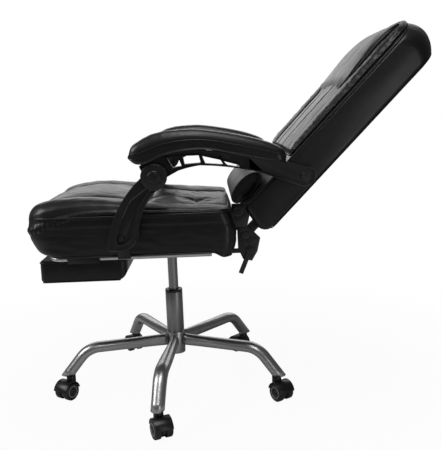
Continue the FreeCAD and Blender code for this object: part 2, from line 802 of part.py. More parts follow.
def make_seat_bolts():
    bolts = []
    head_top = housing_top - s.plate_wall
    for number, (x, y) in enumerate(bolt_spots()):
        shank = rod("bolt_shank_%d" % number, s.bolt_radius, s.plate_wall + s.board_depth, x, y, head_top)
        head = rod("bolt_head_%d" % number, s.bolt_radius * 2, 4, x, y, head_top - 4)
        bolts.append(fused("seat_bolt_%d" % number, [shank, head]))
    keep(grouped("seat_bolts", bolts), "seat_bolts")


# Seat cushions

def rounded_block(half, front, rear, low, high, front_corner, rear_corner):
    """An upright block with round corners in plan, larger ones at the front."""
    a, b = front_corner, rear_corner
    c, d = a * (1 - math.sqrt(0.5)), b * (1 - math.sqrt(0.5))

    def at(x, y):
        return Vector(x, y, low)

    plan = Part.Wire([
        line(at(-half + a, front), at(half - a, front)),
        arc(at(half - a, front), at(half - c, front + c), at(half, front + a)),
        line(at(half, front + a), at(half, rear - b)),
        arc(at(half, rear - b), at(half - d, rear - d), at(half - b, rear)),
        line(at(half - b, rear), at(-half + b, rear)),
        arc(at(-half + b, rear), at(-half + d, rear - d), at(-half, rear - b)),
        line(at(-half, rear - b), at(-half, front + a)),
        arc(at(-half, front + a), at(-half + c, front + c), at(-half + a, front)),
    ])
    return Part.Face(plan).extrude(Vector(0, 0, high - low))


def seat_border_shape():
    """The boxed lower cushion: flat sides, a round lower front edge and a hollow for the board."""
    half = float(s.seat_half_width)
    low, seam = float(s.seat_underside), float(s.seat_seam)
    front, rear = float(s.seat_front), float(s.seat_back)

    def at(y, z):
        return Vector(-half, y, z)

    outline = Part.Wire([
        line(at(front + 50, low), at(rear - 12, low)),
        arc(at(rear - 12, low), at(rear, low + 45), at(rear - 12, seam)),
        line(at(rear - 12, seam), at(front + 10, seam)),
        arc(at(front + 10, seam), at(front, seam - 40), at(front + 12, low + 24)),
        arc(at(front + 12, low + 24), at(front + 27.5, low + 6.5), at(front + 50, low)),
    ])
    block = Part.Face(outline).extrude(Vector(2 * half, 0, 0))
    block = block.common(rounded_block(half, front - 20, rear, low - 1, seam + 1, 55.0, 30.0))
    width, depth = float(s.board_width), float(s.board_depth + s.board_bottom - s.seat_underside)
    length = float(s.board_back - s.board_front)
    room = Part.makeBox(width, length, depth, Vector(-width / 2, float(s.board_front), low))
    return block.cut(room)


def seat_top_shape(border):
    """The overstuffed top: a crowned middle, a roll on each side and a nose that laps the front."""
    half, seam, rise = float(s.seat_half_width) - 3, float(s.seat_seam), float(s.seat_crown)
    front, rear = float(s.seat_front), float(s.seat_back)
    lane = float(s.seat_lane)
    stations = (
        # distance behind the front, half width, underside, side seam, share of the rolls, share of the crown
        (-6, half - 46, seam - 38, seam - 16, -0.08, -0.10),
        (1, half - 16, seam - 48, seam - 2, 0.22, 0.18),
        (22, half - 4, seam - 46, seam + 12, 0.56, 0.50),
        (66, half, seam - 30, seam + 22, 0.80, 0.82),
        (140, half, seam - 8, seam + 27, 0.92, 0.98),
        (234, half, seam, seam + 25, 0.82, 0.88),
        (344, half, seam, seam + 16, 0.52, 0.56),
        (444, half - 1, seam, seam + 9, 0.32, 0.34),
        (494, half - 6, seam, seam + 6, 0.24, 0.24),
        (rear - front - 14, half - 18, seam, seam + 5, 0.22, 0.20),
    )
    wires = []
    for distance, width, low, side, roll_share, crown_share in stations:
        y = front + distance
        roll = seam + rise * roll_share

        def spot(x, z, y=y):
            return Vector(x, y, z)

        wires.append(quilted_wire(spot, width, lane, low, side, roll, roll - 9, seam + rise * crown_share))
    cushion = loft(wires)
    tufts = []
    for x in (-75, 75):
        for distance, surface in ((304, 0.66), (424, 0.42)):
            radius = 40.0
            sink = Vector(x, front + distance, seam + rise * surface + radius - 8)
            tufts.append(Part.makeSphere(radius, sink))
    return cushion.cut([border] + tufts)


def make_seat_cushions():
    border = seat_border_shape()
    keep(formed("seat_base_cushion", border), "seat_base_cushion")
    keep(formed("seat_top_cushion", seat_top_shape(border)), "seat_top_cushion")


# Recliner

lever_pivot = (s.recline_y + 11, s.recline_z - 40)


def make_recliner_seat_plates():
    """The plates that reach from the seat board's edge round the cushion to the recline axis."""
    y, z = recline_axis
    plates = []
    foot_top = s.board_bottom
    rear = s.seat_back + 7

    def outline(sketch):
        draw_polygon(sketch, [
            (s.board_back - 30, foot_top - 12), (s.board_back - 30, foot_top), (rear, foot_top),
            (rear - 1, z + 24), (y + 8, z + 24), (y + 39, z - 8), (y + 31, z - 43), (y + 16, z - 68),
            (y - 7, z - 62), (y - 14, foot_top - 12),
        ])

    for side, word in SIDES:
        body = doc.addObject("PartDesign::Body", "recliner_seat_plate_" + word)
        low = on_side(side, seat_plate_inside, s.recliner_plate)
        side_pad(body, "seat_plate_" + word, low, s.recliner_plate, outline)
        plane = low + s.recliner_plate

        def eyes(sketch):
            draw_circle(sketch, y, z, s.recliner_pin_radius)
            if side == LEFT:
                draw_circle(sketch, *lever_pivot, s.lever_pin_radius)

        side_pocket(body, "seat_plate_eyes_" + word, plane, s.recliner_plate, eyes)
        plates.append(body)
    keep(grouped("recliner_seat_plates", plates), "recliner_seat_plates")


def make_recliner_pins():
    y, z = recline_axis
    pins = []
    for side, word in SIDES:
        length = seat_plate_outside - s.recliner_across
        shank = rod("pin_shank_" + word, s.recliner_pin_radius, length,
                    on_side(side, s.recliner_across, length), y, z, ALONG_X)
        head = rod("pin_head_" + word, s.recliner_pin_radius + 4, 4,
                   on_side(side, seat_plate_outside, 4), y, z, ALONG_X)
        pins.append(fused("recliner_pin_" + word, [shank, head]))
    lever_outside = seat_plate_outside + 0.5 + s.lever_plate
    shank = rod("lever_pin_shank", s.lever_pin_radius, lever_outside + 0.5 - seat_plate_inside,
                seat_plate_inside, *lever_pivot, ALONG_X)
    head = rod("lever_pin_head", s.lever_pin_radius + 3, 2.5, lever_outside + 0.5, *lever_pivot, ALONG_X)
    pins.append(fused("lever_pin", [shank, head]))
    keep(grouped("recliner_pins", pins), "recliner_pins")


def make_recline_lever():
    """A flat bar on the left recliner that points down and forward."""
    y, z = lever_pivot
    inside = seat_plate_outside + 0.5
    half = float(s.lever_width) / 2
    angle = math.radians(-113.0)
    along = Vector(math.cos(angle), math.sin(angle), 0)
    beside = Vector(-along.y, along.x, 0)
    tip = along * float(s.lever_reach)
    points = [beside * half, beside * half + tip, beside * -half + tip, beside * -half]
    body = doc.addObject("PartDesign::Body", "recline_lever")

    def outline(sketch):
        draw_polygon(sketch, [(y + point.x, z + point.y) for point in points])

    side_pad(body, "lever_bar", inside, s.lever_plate, outline)
    side_pad(body, "lever_eye", inside, s.lever_plate,
             lambda sketch: draw_circle(sketch, y, z, s.lever_width * 0.9))
    side_pocket(body, "lever_bore", inside + s.lever_plate, s.lever_plate,
                lambda sketch: draw_circle(sketch, y, z, s.lever_pin_radius + s.running_gap))
    keep(body, "recline_lever")


# Back

def back_frame_boxes(name):
    """The welded frame of square tube: two uprights and two cross tubes."""
    outer = s.recliner_across
    inner = outer - s.frame_tube
    near, far = -s.frame_tube / 2, s.frame_tube / 2
    low, high = s.back_bottom + 6, s.back_side_top - 40
    pieces = []
    for side, word in SIDES:
        x = on_side(side, inner, s.frame_tube)
        pieces.append(box("%s_upright_%s" % (name, word), (x, near, low), (x + s.frame_tube, far, high)))
    for word, z in (("low", low + 70), ("high", high - s.frame_tube)):
        pieces.append(box("%s_cross_%s" % (name, word), (-inner, near, z), (inner, far, z + s.frame_tube)))
    return pieces


def make_back_frame():
    frame = fused("back_frame", back_frame_boxes("frame"))
    frame.Placement = lean
    keep(frame, "back_frame")
    return frame


def make_recliner_back_plates():
    """The plates that ride on the recliner pins and are bolted to the back frame's sides."""
    plates = []
    width = s.frame_tube / 2
    for side, word in SIDES:
        body = doc.addObject("PartDesign::Body", "recliner_back_plate_" + word)
        low = on_side(side, s.recliner_across, s.recliner_plate)
        side_pad(body, "back_plate_" + word, low, s.recliner_plate, lambda sketch: draw_polygon(sketch, [
            (-width, 0), (width, 0), (width, s.back_bottom + 80), (-width, s.back_bottom + 80)]))
        side_pad(body, "back_plate_eye_" + word, low, s.recliner_plate,
                 lambda sketch: draw_circle(sketch, 0, 0, s.recliner_pin_radius + 12))
        side_pocket(body, "back_plate_bore_" + word, low + s.recliner_plate, s.recliner_plate,
                    lambda sketch: draw_circle(sketch, 0, 0, s.recliner_pin_radius + s.running_gap))
        plates.append(body)
    group = grouped("recliner_back_plates", plates)
    group.Placement = lean
    keep(group, "recliner_back_plates")
    return group


def arm_bolt_shape(side):
    """The bolt of an arm pivot, from the back frame out through the arm frame, with a spacing ring."""
    start = float(s.recliner_across)
    length = float(arm_outside) - start
    centre = Vector(side * start, -float(s.arm_pivot_depth), float(s.arm_pivot_height))
    out = Vector(side, 0, 0)
    shank = Part.makeCylinder(float(s.arm_pivot_radius), length, centre, out)
    ring_start = float(s.back_half_width)
    ring_length = float(s.arm_inside - s.running_gap) - ring_start
    ring_centre = Vector(side * ring_start, centre.y, centre.z)
    ring = Part.makeCylinder(2 * float(s.arm_pivot_radius), ring_length, ring_centre, out)
    return shank.fuse(ring).removeSplitter()


def make_arm_pivot_bolts():
    bolts = [formed("arm_pivot_bolt_" + word, arm_bolt_shape(side)) for side, word in SIDES]
    group = grouped("arm_pivot_bolts", bolts)
    group.Placement = lean
    keep(group, "arm_pivot_bolts")
    return bolts


def back_outline(depth, inset):
    """The arched outline of the back at one depth, drawn in all round by the inset."""
    behind = (depth + float(s.back_front)) / float(s.back_front + s.back_rear)
    drop = float(s.back_drop) * behind
    swell = 4 * float(s.back_top_swell) * behind * (1 - behind)
    half, low = float(s.back_half_width) - inset, float(s.back_bottom) + inset - drop
    side_top, top = float(s.back_side_top) - inset, float(s.back_top) - inset + swell
    corner = 22.0
    bend = corner * (1 - math.sqrt(0.5))
    shoulder = corner * 1.4

    def at(x, z):
        return Vector(x, depth, z)

    return Part.Wire([
        line(at(-half + corner, low), at(half - corner, low)),
        arc(at(half - corner, low), at(half - bend, low + bend), at(half, low + corner)),
        line(at(half, low + corner), at(half, side_top - corner)),
        arc(at(half, side_top - corner), at(half - bend, side_top - bend + 4), at(half - shoulder, side_top + 7)),
        arc(at(half - shoulder, side_top + 7), at(0, top), at(-half + shoulder, side_top + 7)),
        arc(at(-half + shoulder, side_top + 7), at(-half + bend, side_top - bend + 4), at(-half, side_top - corner)),
        line(at(-half, side_top - corner), at(-half, low + corner)),
        arc(at(-half, low + corner), at(-half + bend, low + bend), at(-half + corner, low)),
    ])


def back_border_shape():
    """The boxed back: flat sides and rear, an arched top and eased edges."""
    front, rear, ease = -float(s.back_front), float(s.back_rear), 8.0
    middle = (front + rear) / 2
    sections = (
        (front, ease), (front + ease, 0.0), (middle - 2 * ease, 0.0), (middle, 0.0), (middle + 2 * ease, 0.0),
        (rear - ease, 0.0), (rear, ease),
    )
    return loft([back_outline(depth, inset) for depth, inset in sections], ruled=True)


def front_pillow_shape():
    """The full front pillow: a crowned middle and a roll along each side, drawn in at its ends."""
    low, base = float(s.pillow_bottom), float(s.back_front + s.running_gap * 2)
    depth, half, top = float(s.pillow_depth), float(s.pillow_half_width), float(s.back_top)
    side_top = float(s.back_side_top)
    lane = float(s.back_lane)
    stations = (
        # height, half width, lane, share of the full thickness
        (low, half - 14, lane, 0.35),
        (low + 14, half - 3, lane, 0.75),
        (low + 60, half, lane, 0.9),
        (low + 190, half, lane, 1.0),
        (side_top - 90, half, lane, 1.05),
        (side_top - 22, half - 4, lane - 5, 1.0),
        (side_top + 12, half - 42, lane - 25, 0.85),
        (top - 14, half - 110, lane - 70, 0.6),
    )
    wires = []
    for z, width, valley_at, share in stations:

        def spot(x, out, z=z):
            return Vector(x, -out, z)

        thick = depth * share
        wires.append(quilted_wire(spot, width, valley_at, base, base + 0.55 * thick,
                                  base + 0.92 * thick, base + 0.68 * thick, base + thick))
    return loft(wires)


def head_pillow_shape(front_pillow):
    """The head pillow, bulged over the upper part of the front pillow."""
    base = float(s.back_front)
    under = base + 0.5 * float(s.pillow_depth)
    face = base + float(s.pillow_depth)
    extra = float(s.head_depth)
    half, low, top = float(s.head_half_width), float(s.head_bottom), float(s.back_top)
    stations = (
        (low, half - 45, 0.15),
        (low + 25, half - 14, 0.55),
        (low + 80, half, 0.95),
        (low + 140, half, 1.0),
        (low + 200, half - 6, 0.8),
        (top - 20, half - 40, 0.35),
        (top - 6, half - 75, 0.1),
    )
    wires = []
    for z, width, share in stations:

        def spot(x, out, z=z):
            return Vector(x, -out, z)

        crown = face + extra * share
        wires.append(cushion_wire(spot, width, under, face - 6 + extra * share * 0.7, crown, 6.0))
    return loft(wires).cut(front_pillow)


def lumbar_shape():
    """The lumbar roll: an oval bolster with domed ends, laid across the back."""
    half = float(s.lumbar_half_length)
    tall, thick = float(s.lumbar_height) / 2, float(s.lumbar_depth) / 2
    depth = -float(s.back_front) - thick - 2 * float(s.running_gap)
    height = float(s.lumbar_centre)
    wires = []
    for x, share in ((-1.0, 0.6), (-0.96, 0.86), (-0.85, 0.97), (-0.4, 1.0), (0.4, 1.0),
                     (0.85, 0.97), (0.96, 0.86), (1.0, 0.6)):
        a, b = thick * share, tall * share
        corners = [Vector(half * x, depth + p * a * 0.72, height + q * b * 0.72)
                   for p, q in ((1, -1), (1, 1), (-1, 1), (-1, -1))]
        peaks = [Vector(half * x, depth + a, height), Vector(half * x, depth, height + b),
                 Vector(half * x, depth - a, height), Vector(half * x, depth, height - b)]
        wires.append(Part.Wire([arc(corners[k], peaks[k], corners[(k + 1) % 4]) for k in range(4)]))
    return loft(wires)


def make_back_cushions(frame, plates, bolts):
    border = back_border_shape()
    unlean = lean.inverse()
    inner = []
    for piece in [frame, plates]:
        shape = piece.Shape.copy()
        shape.Placement = unlean.multiply(shape.Placement)
        inner.append(shape)
    inner += [bolt.Shape for bolt in bolts]
    border = border.cut(inner)
    keep(formed("back_base_cushion", border, lean), "back_base_cushion")
    pillow = front_pillow_shape()
    keep(formed("back_front_pillow", pillow, lean), "back_front_pillow")
    keep(formed("head_pillow", head_pillow_shape(pillow), lean), "head_pillow")
    keep(formed("lumbar_pillow", lumbar_shape(), lean), "lumbar_pillow")


# Armrests

def from_knob(y, z):
    return float(s.knob_y) + y, float(s.knob_z) + z


def from_foot(y, z):
    return float(s.foot_y) + y, float(s.foot_z) + z


def from_arm_pivot(y, z):
    return arm_pivot[0] + y, arm_pivot[1] + z


def arm_frame_outline(sketch):
    """The curved beam from the front lug to the rear lug, with the thin rail below it."""
    draw_outline(sketch, from_knob(-37, 24), [
        (from_knob(-9, 41), from_knob(28, 54)),
        (from_knob(75, 60), from_knob(114, 58)),
        (from_knob(160, 52), from_arm_pivot(-132, 55)),
        (from_arm_pivot(-62, 43),),
        (from_arm_pivot(22, 21),),
        (from_arm_pivot(27, 0), from_arm_pivot(12, -22)),
        (from_arm_pivot(-8, -23),),
        (from_arm_pivot(-104, 14),),
        (from_knob(158, 17), from_knob(110, 21)),
        (from_knob(84, 17), from_knob(57, 10)),
        (from_knob(22, -8),),
        (from_knob(-28, 2),),
    ])


def arm_cells(sketch):
    """The four slanted openings of the ladder."""
    for corners in (
        (from_knob(31, 42), from_knob(58, 43), from_knob(66, 21), from_knob(44, 18)),
        (from_knob(69, 45), from_knob(108, 45), from_knob(112, 27), from_knob(73, 25)),
        (from_knob(116, 43), from_knob(160, 32), from_knob(166, 21), from_knob(123, 25)),
        (from_knob(167, 29), from_knob(204, 18), from_knob(206, 13), from_knob(176, 19)),
    ):
        draw_polygon(sketch, corners)


def make_arm_frame(side, word):
    low = on_side(side, s.arm_inside, s.arm_thickness)
    high = low + s.arm_thickness
    name = "arm_frame_" + word
    body = doc.addObject("PartDesign::Body", name)
    side_pad(body, name + "_beam", low, s.arm_thickness, arm_frame_outline)
    side_pad(body, name + "_front_lug", low, s.arm_thickness,
             lambda sketch: draw_circle(sketch, *knob_pivot, s.lug_radius))
    side_pad(body, name + "_rear_lug", low, s.arm_thickness,
             lambda sketch: draw_circle(sketch, *arm_pivot, s.rear_lug_radius))
    side_pocket(body, name + "_cells", high, s.arm_thickness, arm_cells)

    def bores(sketch):
        draw_circle(sketch, *knob_pivot, s.open_pivot_radius)
        draw_circle(sketch, *arm_pivot, s.arm_pivot_radius + s.running_gap)

    side_pocket(body, name + "_bores", high, s.arm_thickness, bores)
    return keep(body, name)


def arm_pad_shape(side):
    """The padded arm: narrow at its nose, crowned, and drawn in at its rear end."""
    middle = side * float(arm_outside)
    half = float(s.pad_half_width)
    stations = (
        # place, half width, underside, side height, crown
        (from_knob(-59, 50), half - 18, -4, 6, 16),
        (from_knob(-50, 42), half - 8, -6, 16, 34),
        (from_knob(-34, 36), half - 2.5, -5, 30, 50),
        (from_knob(-10, 38), half - 0.5, -1, 40, 57),
        (from_knob(22, 48), half, 0, 41, 58),
        (from_knob(62, 56), half, 0, 38, 53),
        (from_knob(104, 57), half, 0, 37, 51),
        (from_knob(160, 50), half, 0, 35, 50),
        (from_arm_pivot(-132, 54), half, 0, 32, 47),
        (from_arm_pivot(-92, 47), half - 0.5, 0, 28, 42),
        (from_arm_pivot(-64, 42), half - 5, 0, 20, 32),
        (from_arm_pivot(-50, 40), half - 14, 1, 11, 19),
    )
    wires = []
    for (y, z), width, low, high, crown in stations:

        def spot(x, height, y=y, z=z):
            return Vector(middle + x, y, z + height)

        wires.append(cushion_wire(spot, width, low, high, crown, 3.0))
    return loft(wires)


def strut_outline(sketch):
    draw_outline(sketch, from_knob(-26, 3), [
        (from_knob(-86, -66), from_foot(-34, -22)),
        (from_foot(-31, -30),),
        (from_foot(0, -31),),
        (from_foot(33, -14), from_foot(44, 12)),
        (from_foot(58, 68), from_knob(22, -18)),
        (from_knob(0, 0),),
    ])


def strut_recess(sketch):
    draw_polygon(sketch, [
        from_knob(-20, -31), from_knob(-57, -57), from_foot(4, 43), from_foot(-11, 2), from_foot(-9, -14),
        from_foot(16, -9), from_foot(27, 5), from_foot(30, 28), from_knob(-41, -67), from_knob(-11, -31),
    ])


def make_strut(side, word):
    """The curved strut, with a recessed outer face."""
    low = on_side(side, strut_inside, s.strut_thickness)
    name = "arm_strut_" + word
    body = doc.addObject("PartDesign::Body", name)
    side_pad(body, name + "_blade", low, s.strut_thickness, strut_outline)
    side_pad(body, name + "_head", low, s.strut_thickness,
             lambda sketch: draw_circle(sketch, *knob_pivot, s.lug_radius + 2))
    if side == LEFT:
        recess_from = low + s.strut_thickness
    else:
        recess_from = low + s.strut_recess
    side_pocket(body, name + "_recess", recess_from, s.strut_recess, strut_recess)

    def bores(sketch):
        draw_circle(sketch, *knob_pivot, s.arm_bolt_radius)
        draw_circle(sketch, *strut_pivot, s.arm_bolt_radius + s.running_gap)

    side_pocket(body, name + "_bores", low + s.strut_thickness, s.strut_thickness, bores)
    return keep(body, name)


def make_knob(side, word):
    """The knob with its bolt, and the nut that holds the arm frame on it."""
    y, z = knob_pivot
    name = "arm_knob_" + word
    gap = s.running_gap
    nut_low = s.arm_inside - gap - 5
    disc = rod(name + "_disc", s.knob_radius, s.knob_depth, on_side(side, strut_outside, s.knob_depth), y, z, ALONG_X)
    boss = rod(name + "_boss", s.knob_radius * 0.45, 3,
               on_side(side, strut_outside + s.knob_depth, 3), y, z, ALONG_X)
    length = strut_outside - nut_low
    bolt = rod(name + "_bolt", s.arm_bolt_radius, length, on_side(side, nut_low, length), y, z, ALONG_X)
    nut = rod(name + "_nut", s.open_pivot_radius + 4, 5, on_side(side, nut_low, 5), y, z, ALONG_X)
    return keep(fused(name, [disc, boss, bolt, nut]), name)


def make_arm_brackets():
    """Steel angles under the seat board with the stud that each strut turns on."""
    y, z = strut_pivot
    wall = s.plate_wall
    out = s.seat_half_width + 2
    brackets = []
    for side, word in SIDES:
        name = "arm_bracket_" + word
        low, high = s.board_bottom - wall, z + 14
        upright = box(name + "_upright", (on_side(side, out, wall), y - 16, low),
                      (on_side(side, out, wall) + wall, y + 16, high))
        reach = out - s.board_width / 2 + 60 + wall
        foot = box(name + "_foot", (on_side(side, out + wall - reach, reach), y - 16, low),
                   (on_side(side, out + wall - reach, reach) + reach, y + 16, s.board_bottom))
        web_face = strut_outside - s.strut_recess
        stud_length = web_face + 7 - out
        stud = rod(name + "_stud", s.arm_bolt_radius, stud_length, on_side(side, out, stud_length), y, z, ALONG_X)
        boss_length = strut_inside - s.running_gap - out
        boss = rod(name + "_boss", s.arm_bolt_radius + 5, boss_length, on_side(side, out, boss_length), y, z, ALONG_X)
        nut_start = web_face + s.running_gap
        nut = rod(name + "_nut", s.arm_bolt_radius + 2, 5, on_side(side, nut_start, 5), y, z, ALONG_X)
        brackets.append(fused(name, [upright, foot, stud, boss, nut]))
    keep(grouped("arm_brackets", brackets), "arm_brackets")


def make_armrests():
    for side, word in SIDES:
        frame = make_arm_frame(side, word)
        make_strut(side, word)
        make_knob(side, word)
        doc.recompute()
        pad = arm_pad_shape(side).cut(frame.Shape)
        keep(formed("arm_pad_" + word, pad), "arm_pad_" + word)
    make_arm_brackets()


# Footrest

def slide_frame_shape():
    """A U of round tube: two slides and the front cross tube that the footrest hinges on."""
    z, x = float(s.slide_height), float(s.slide_across)
    front, rear, bend = float(s.slide_front), float(s.slide_back), float(s.slide_bend)
    cut_in = bend * (1 - math.sqrt(0.5))
    path = Part.Wire([
        line(Vector(-x, rear, z), Vector(-x, front + bend, z)),
        arc(Vector(-x, front + bend, z), Vector(-x + cut_in, front + cut_in, z), Vector(-x + bend, front, z)),
        line(Vector(-x + bend, front, z), Vector(x - bend, front, z)),
        arc(Vector(x - bend, front, z), Vector(x - cut_in, front + cut_in, z), Vector(x, front + bend, z)),
        line(Vector(x, front + bend, z), Vector(x, rear, z)),
    ])
    circle = Part.Circle(Vector(-x, rear, z), Vector(0, 1, 0), float(s.slide_tube_radius))
    return path.makePipeShell([Part.Wire(circle.toShape())], True, False)


def make_footrest_guides():
    guides = []
    half = s.guide_width / 2
    for side, word in SIDES:
        name = "footrest_guide_" + word
        low = s.slide_height - s.slide_tube_radius - s.running_gap - s.guide_floor
        x = on_side(side, s.slide_across - half, s.guide_width)
        block = box(name + "_block", (x, s.guide_front, low), (x + s.guide_width, s.guide_back, s.board_bottom))
        length = s.guide_back - s.guide_front + 20
        bore = rod(name + "_bore", s.slide_tube_radius + s.running_gap, length,
                   on_side(side, s.slide_across, 0), s.guide_front - 10, s.slide_height, ALONG_Y)
        guides.append(cut(name, block, bore))
    keep(grouped("footrest_guides", guides), "footrest_guides")


def footrest_pad_shape():
    """The footrest's cushion, with a generous round at its lower rear edge."""
    half = float(s.rest_half_width)
    front = float(s.slide_front - s.rest_overhang)
    rear = front + float(s.rest_length)
    top = float(rest_top - s.rest_board)
    low = top - float(s.rest_depth)
    big, small = 26.0, 12.0
    cut_big, cut_small = big * (1 - math.sqrt(0.5)), small * (1 - math.sqrt(0.5))

    def at(y, z):
        return Vector(-half, y, z)

    outline = Part.Wire([
        line(at(front + small, low), at(rear - big, low)),
        arc(at(rear - big, low), at(rear - cut_big, low + cut_big), at(rear, low + big)),
        line(at(rear, low + big), at(rear, top)),
        line(at(rear, top), at(front, top)),
        line(at(front, top), at(front, low + small)),
        arc(at(front, low + small), at(front + cut_small, low + cut_small), at(front + small, low)),
    ])
    block = Part.Face(outline).extrude(Vector(2 * half, 0, 0))
    return softened(block, 9.0, lambda edge: abs(abs(edge.CenterOfMass.x) - half) < 0.01
                    and edge.CenterOfMass.z < top - 1)


def make_footrest():
    keep(formed("footrest_slide_frame", slide_frame_shape()), "footrest_slide_frame")
    make_footrest_guides()
    front = s.slide_front - s.rest_overhang
    rear = front + s.rest_length
    keep(box("footrest_board", (-s.rest_half_width + 6, front + 6, rest_top - s.rest_board),
             (s.rest_half_width - 6, rear - 6, rest_top)), "footrest_board")
    hinges = []
    ring = s.slide_tube_radius + s.running_gap + s.hinge_wall
    for side, word in SIDES:
        name = "footrest_hinge_" + word
        x = on_side(side, s.rest_half_width - s.hinge_width - 40, s.hinge_width)
        barrel = rod(name + "_barrel", ring, s.hinge_width, x, s.slide_front, s.slide_height, ALONG_X)
        leaf = box(name + "_leaf", (x, s.slide_front - 14, rest_top), (x + s.hinge_width, s.slide_front + 40, rest_top + 2))
        neck = box(name + "_neck", (x, s.slide_front - ring * 0.7, rest_top),
                   (x + s.hinge_width, s.slide_front + ring * 0.7, s.slide_height))
        bore = rod(name + "_bore", s.slide_tube_radius + s.running_gap, s.hinge_width + 2, x - 1,
                   s.slide_front, s.slide_height, ALONG_X)
        below = box(name + "_below", (x - 1, s.slide_front - 30, rest_top - 20),
                    (x + s.hinge_width + 1, s.slide_front + 60, rest_top))
        solid = fused(name + "_solid", [barrel, leaf, neck])
        hinges.append(cut(name, solid, fused(name + "_away", [bore, below])))
    keep(grouped("footrest_hinges", hinges), "footrest_hinges")
    keep(formed("footrest_pad", footrest_pad_shape()), "footrest_pad")


# Lift lever

def make_lift_lever():
    y, z = s.lift_lever_y, s.lift_lever_z
    inner = s.cylinder_radius + 12
    length = s.lift_lever_end - inner
    keep(rod("lift_lever", s.lift_lever_radius, length, -s.lift_lever_end, y, z, ALONG_X), "lift_lever")
    start = s.lift_lever_end - 22
    half = s.grip_width / 2
    paddle = box("grip_paddle", (-start - s.grip_length, y - half, z - 6), (-start, y + half, z + 6))
    bore = rod("grip_bore", s.lift_lever_radius, s.grip_length, -s.lift_lever_end, y, z, ALONG_X)
    keep(cut("lift_lever_grip", paddle, bore), "lift_lever_grip")


# Assembly

make_hub()
make_legs()
make_leg_inserts()
make_stems()
make_casters()
make_gas_lift()
make_piston_rod()
make_cylinder()
make_housing()
make_seat_board()
make_seat_bolts()
make_seat_cushions()
make_recliner_seat_plates()
make_recliner_pins()
make_recline_lever()
back_frame = make_back_frame()
back_plates = make_recliner_back_plates()
pivot_bolts = make_arm_pivot_bolts()
doc.recompute()
make_back_cushions(back_frame, back_plates, pivot_bolts)
make_armrests()
make_footrest()
make_lift_lever()
doc.recompute()

# Checks, then the files

for thing in doc.Objects:
    if "Invalid" in thing.State or "Error" in thing.State:
        raise RuntimeError("%s failed: %s" % (thing.Name, thing.State))
for piece in nodes:
    if piece.Shape.isNull() or not piece.Shape.isValid() or not piece.Shape.Solids:
        raise RuntimeError("%s has no valid shape" % piece.Label)

os.makedirs("parts", exist_ok=True)
for piece in nodes:
    piece.Shape.exportStep("parts/%s.step" % piece.Label)
    box_size = piece.Shape.BoundBox
    print("%-24s %d solids, %.0f mm3, x %.0f..%.0f y %.0f..%.0f z %.0f..%.0f" % (
        piece.Label, len(piece.Shape.Solids), piece.Shape.Volume, box_size.XMin, box_size.XMax,
        box_size.YMin, box_size.YMax, box_size.ZMin, box_size.ZMax))
print("%d nodes" % len(nodes))
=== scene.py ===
import json
import math

import bmesh
import bpy
from mathutils import Matrix, Vector, noise


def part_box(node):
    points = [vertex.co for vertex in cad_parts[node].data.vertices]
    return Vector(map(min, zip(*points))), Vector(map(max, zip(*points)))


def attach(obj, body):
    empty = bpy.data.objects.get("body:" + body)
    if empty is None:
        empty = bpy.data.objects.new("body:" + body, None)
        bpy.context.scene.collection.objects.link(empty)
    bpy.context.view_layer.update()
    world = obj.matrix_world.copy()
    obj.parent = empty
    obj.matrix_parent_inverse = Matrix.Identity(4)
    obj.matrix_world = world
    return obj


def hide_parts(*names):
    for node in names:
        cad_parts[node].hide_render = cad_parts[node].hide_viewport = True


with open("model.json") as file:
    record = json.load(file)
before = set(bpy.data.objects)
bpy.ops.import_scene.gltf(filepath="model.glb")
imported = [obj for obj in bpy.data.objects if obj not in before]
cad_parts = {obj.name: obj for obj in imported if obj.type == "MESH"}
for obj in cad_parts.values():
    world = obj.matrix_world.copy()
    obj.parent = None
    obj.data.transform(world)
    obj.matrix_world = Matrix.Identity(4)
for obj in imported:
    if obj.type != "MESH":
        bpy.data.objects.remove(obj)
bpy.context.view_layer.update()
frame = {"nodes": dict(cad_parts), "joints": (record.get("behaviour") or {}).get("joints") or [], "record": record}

# Reclining office chair: its looks, built round the fixed frame.
# Metres, +Z up, the chair faces -Y and its own left side is +X.

MM = 0.001
LEFT, RIGHT = 1, -1
SIDES = ((LEFT, "left"), (RIGHT, "right"))
CASTERS = range(1, 6)

JOINTS = {joint["name"]: joint for joint in frame["joints"]}
HINGE = Vector(JOINTS["recline"]["pos_m"])
LEAN = math.radians(44.3)
LEANED = Matrix.Translation(HINGE) @ Matrix.Rotation(-LEAN, 4, "X")


def mm(*numbers):
    return Vector(numbers) * MM


def smooth(low, high, value):
    """Eases from 0 at low to 1 at high."""
    share = min(1.0, max(0.0, (value - low) / (high - low)))
    return share * share * (3 - 2 * share)


def mix(start, end, share):
    return start + (end - start) * share


def dent(distance, width):
    """A bell of height 1 at distance 0."""
    return math.exp(-(distance / width) ** 2)


def crowded(place, pull):
    """A place from -1 to 1 as a share from 0 to 1, with the cuts pulled towards both ends."""
    return 0.5 + 0.5 * mix(place, math.sin(place * math.pi / 2), pull)


def rounded_end(distance, radius):
    """How far a side draws in at a distance from its end, for a corner of a radius."""
    if distance >= radius:
        return 0.0
    return radius - math.sqrt(max(0.0, radius ** 2 - (radius - distance) ** 2))


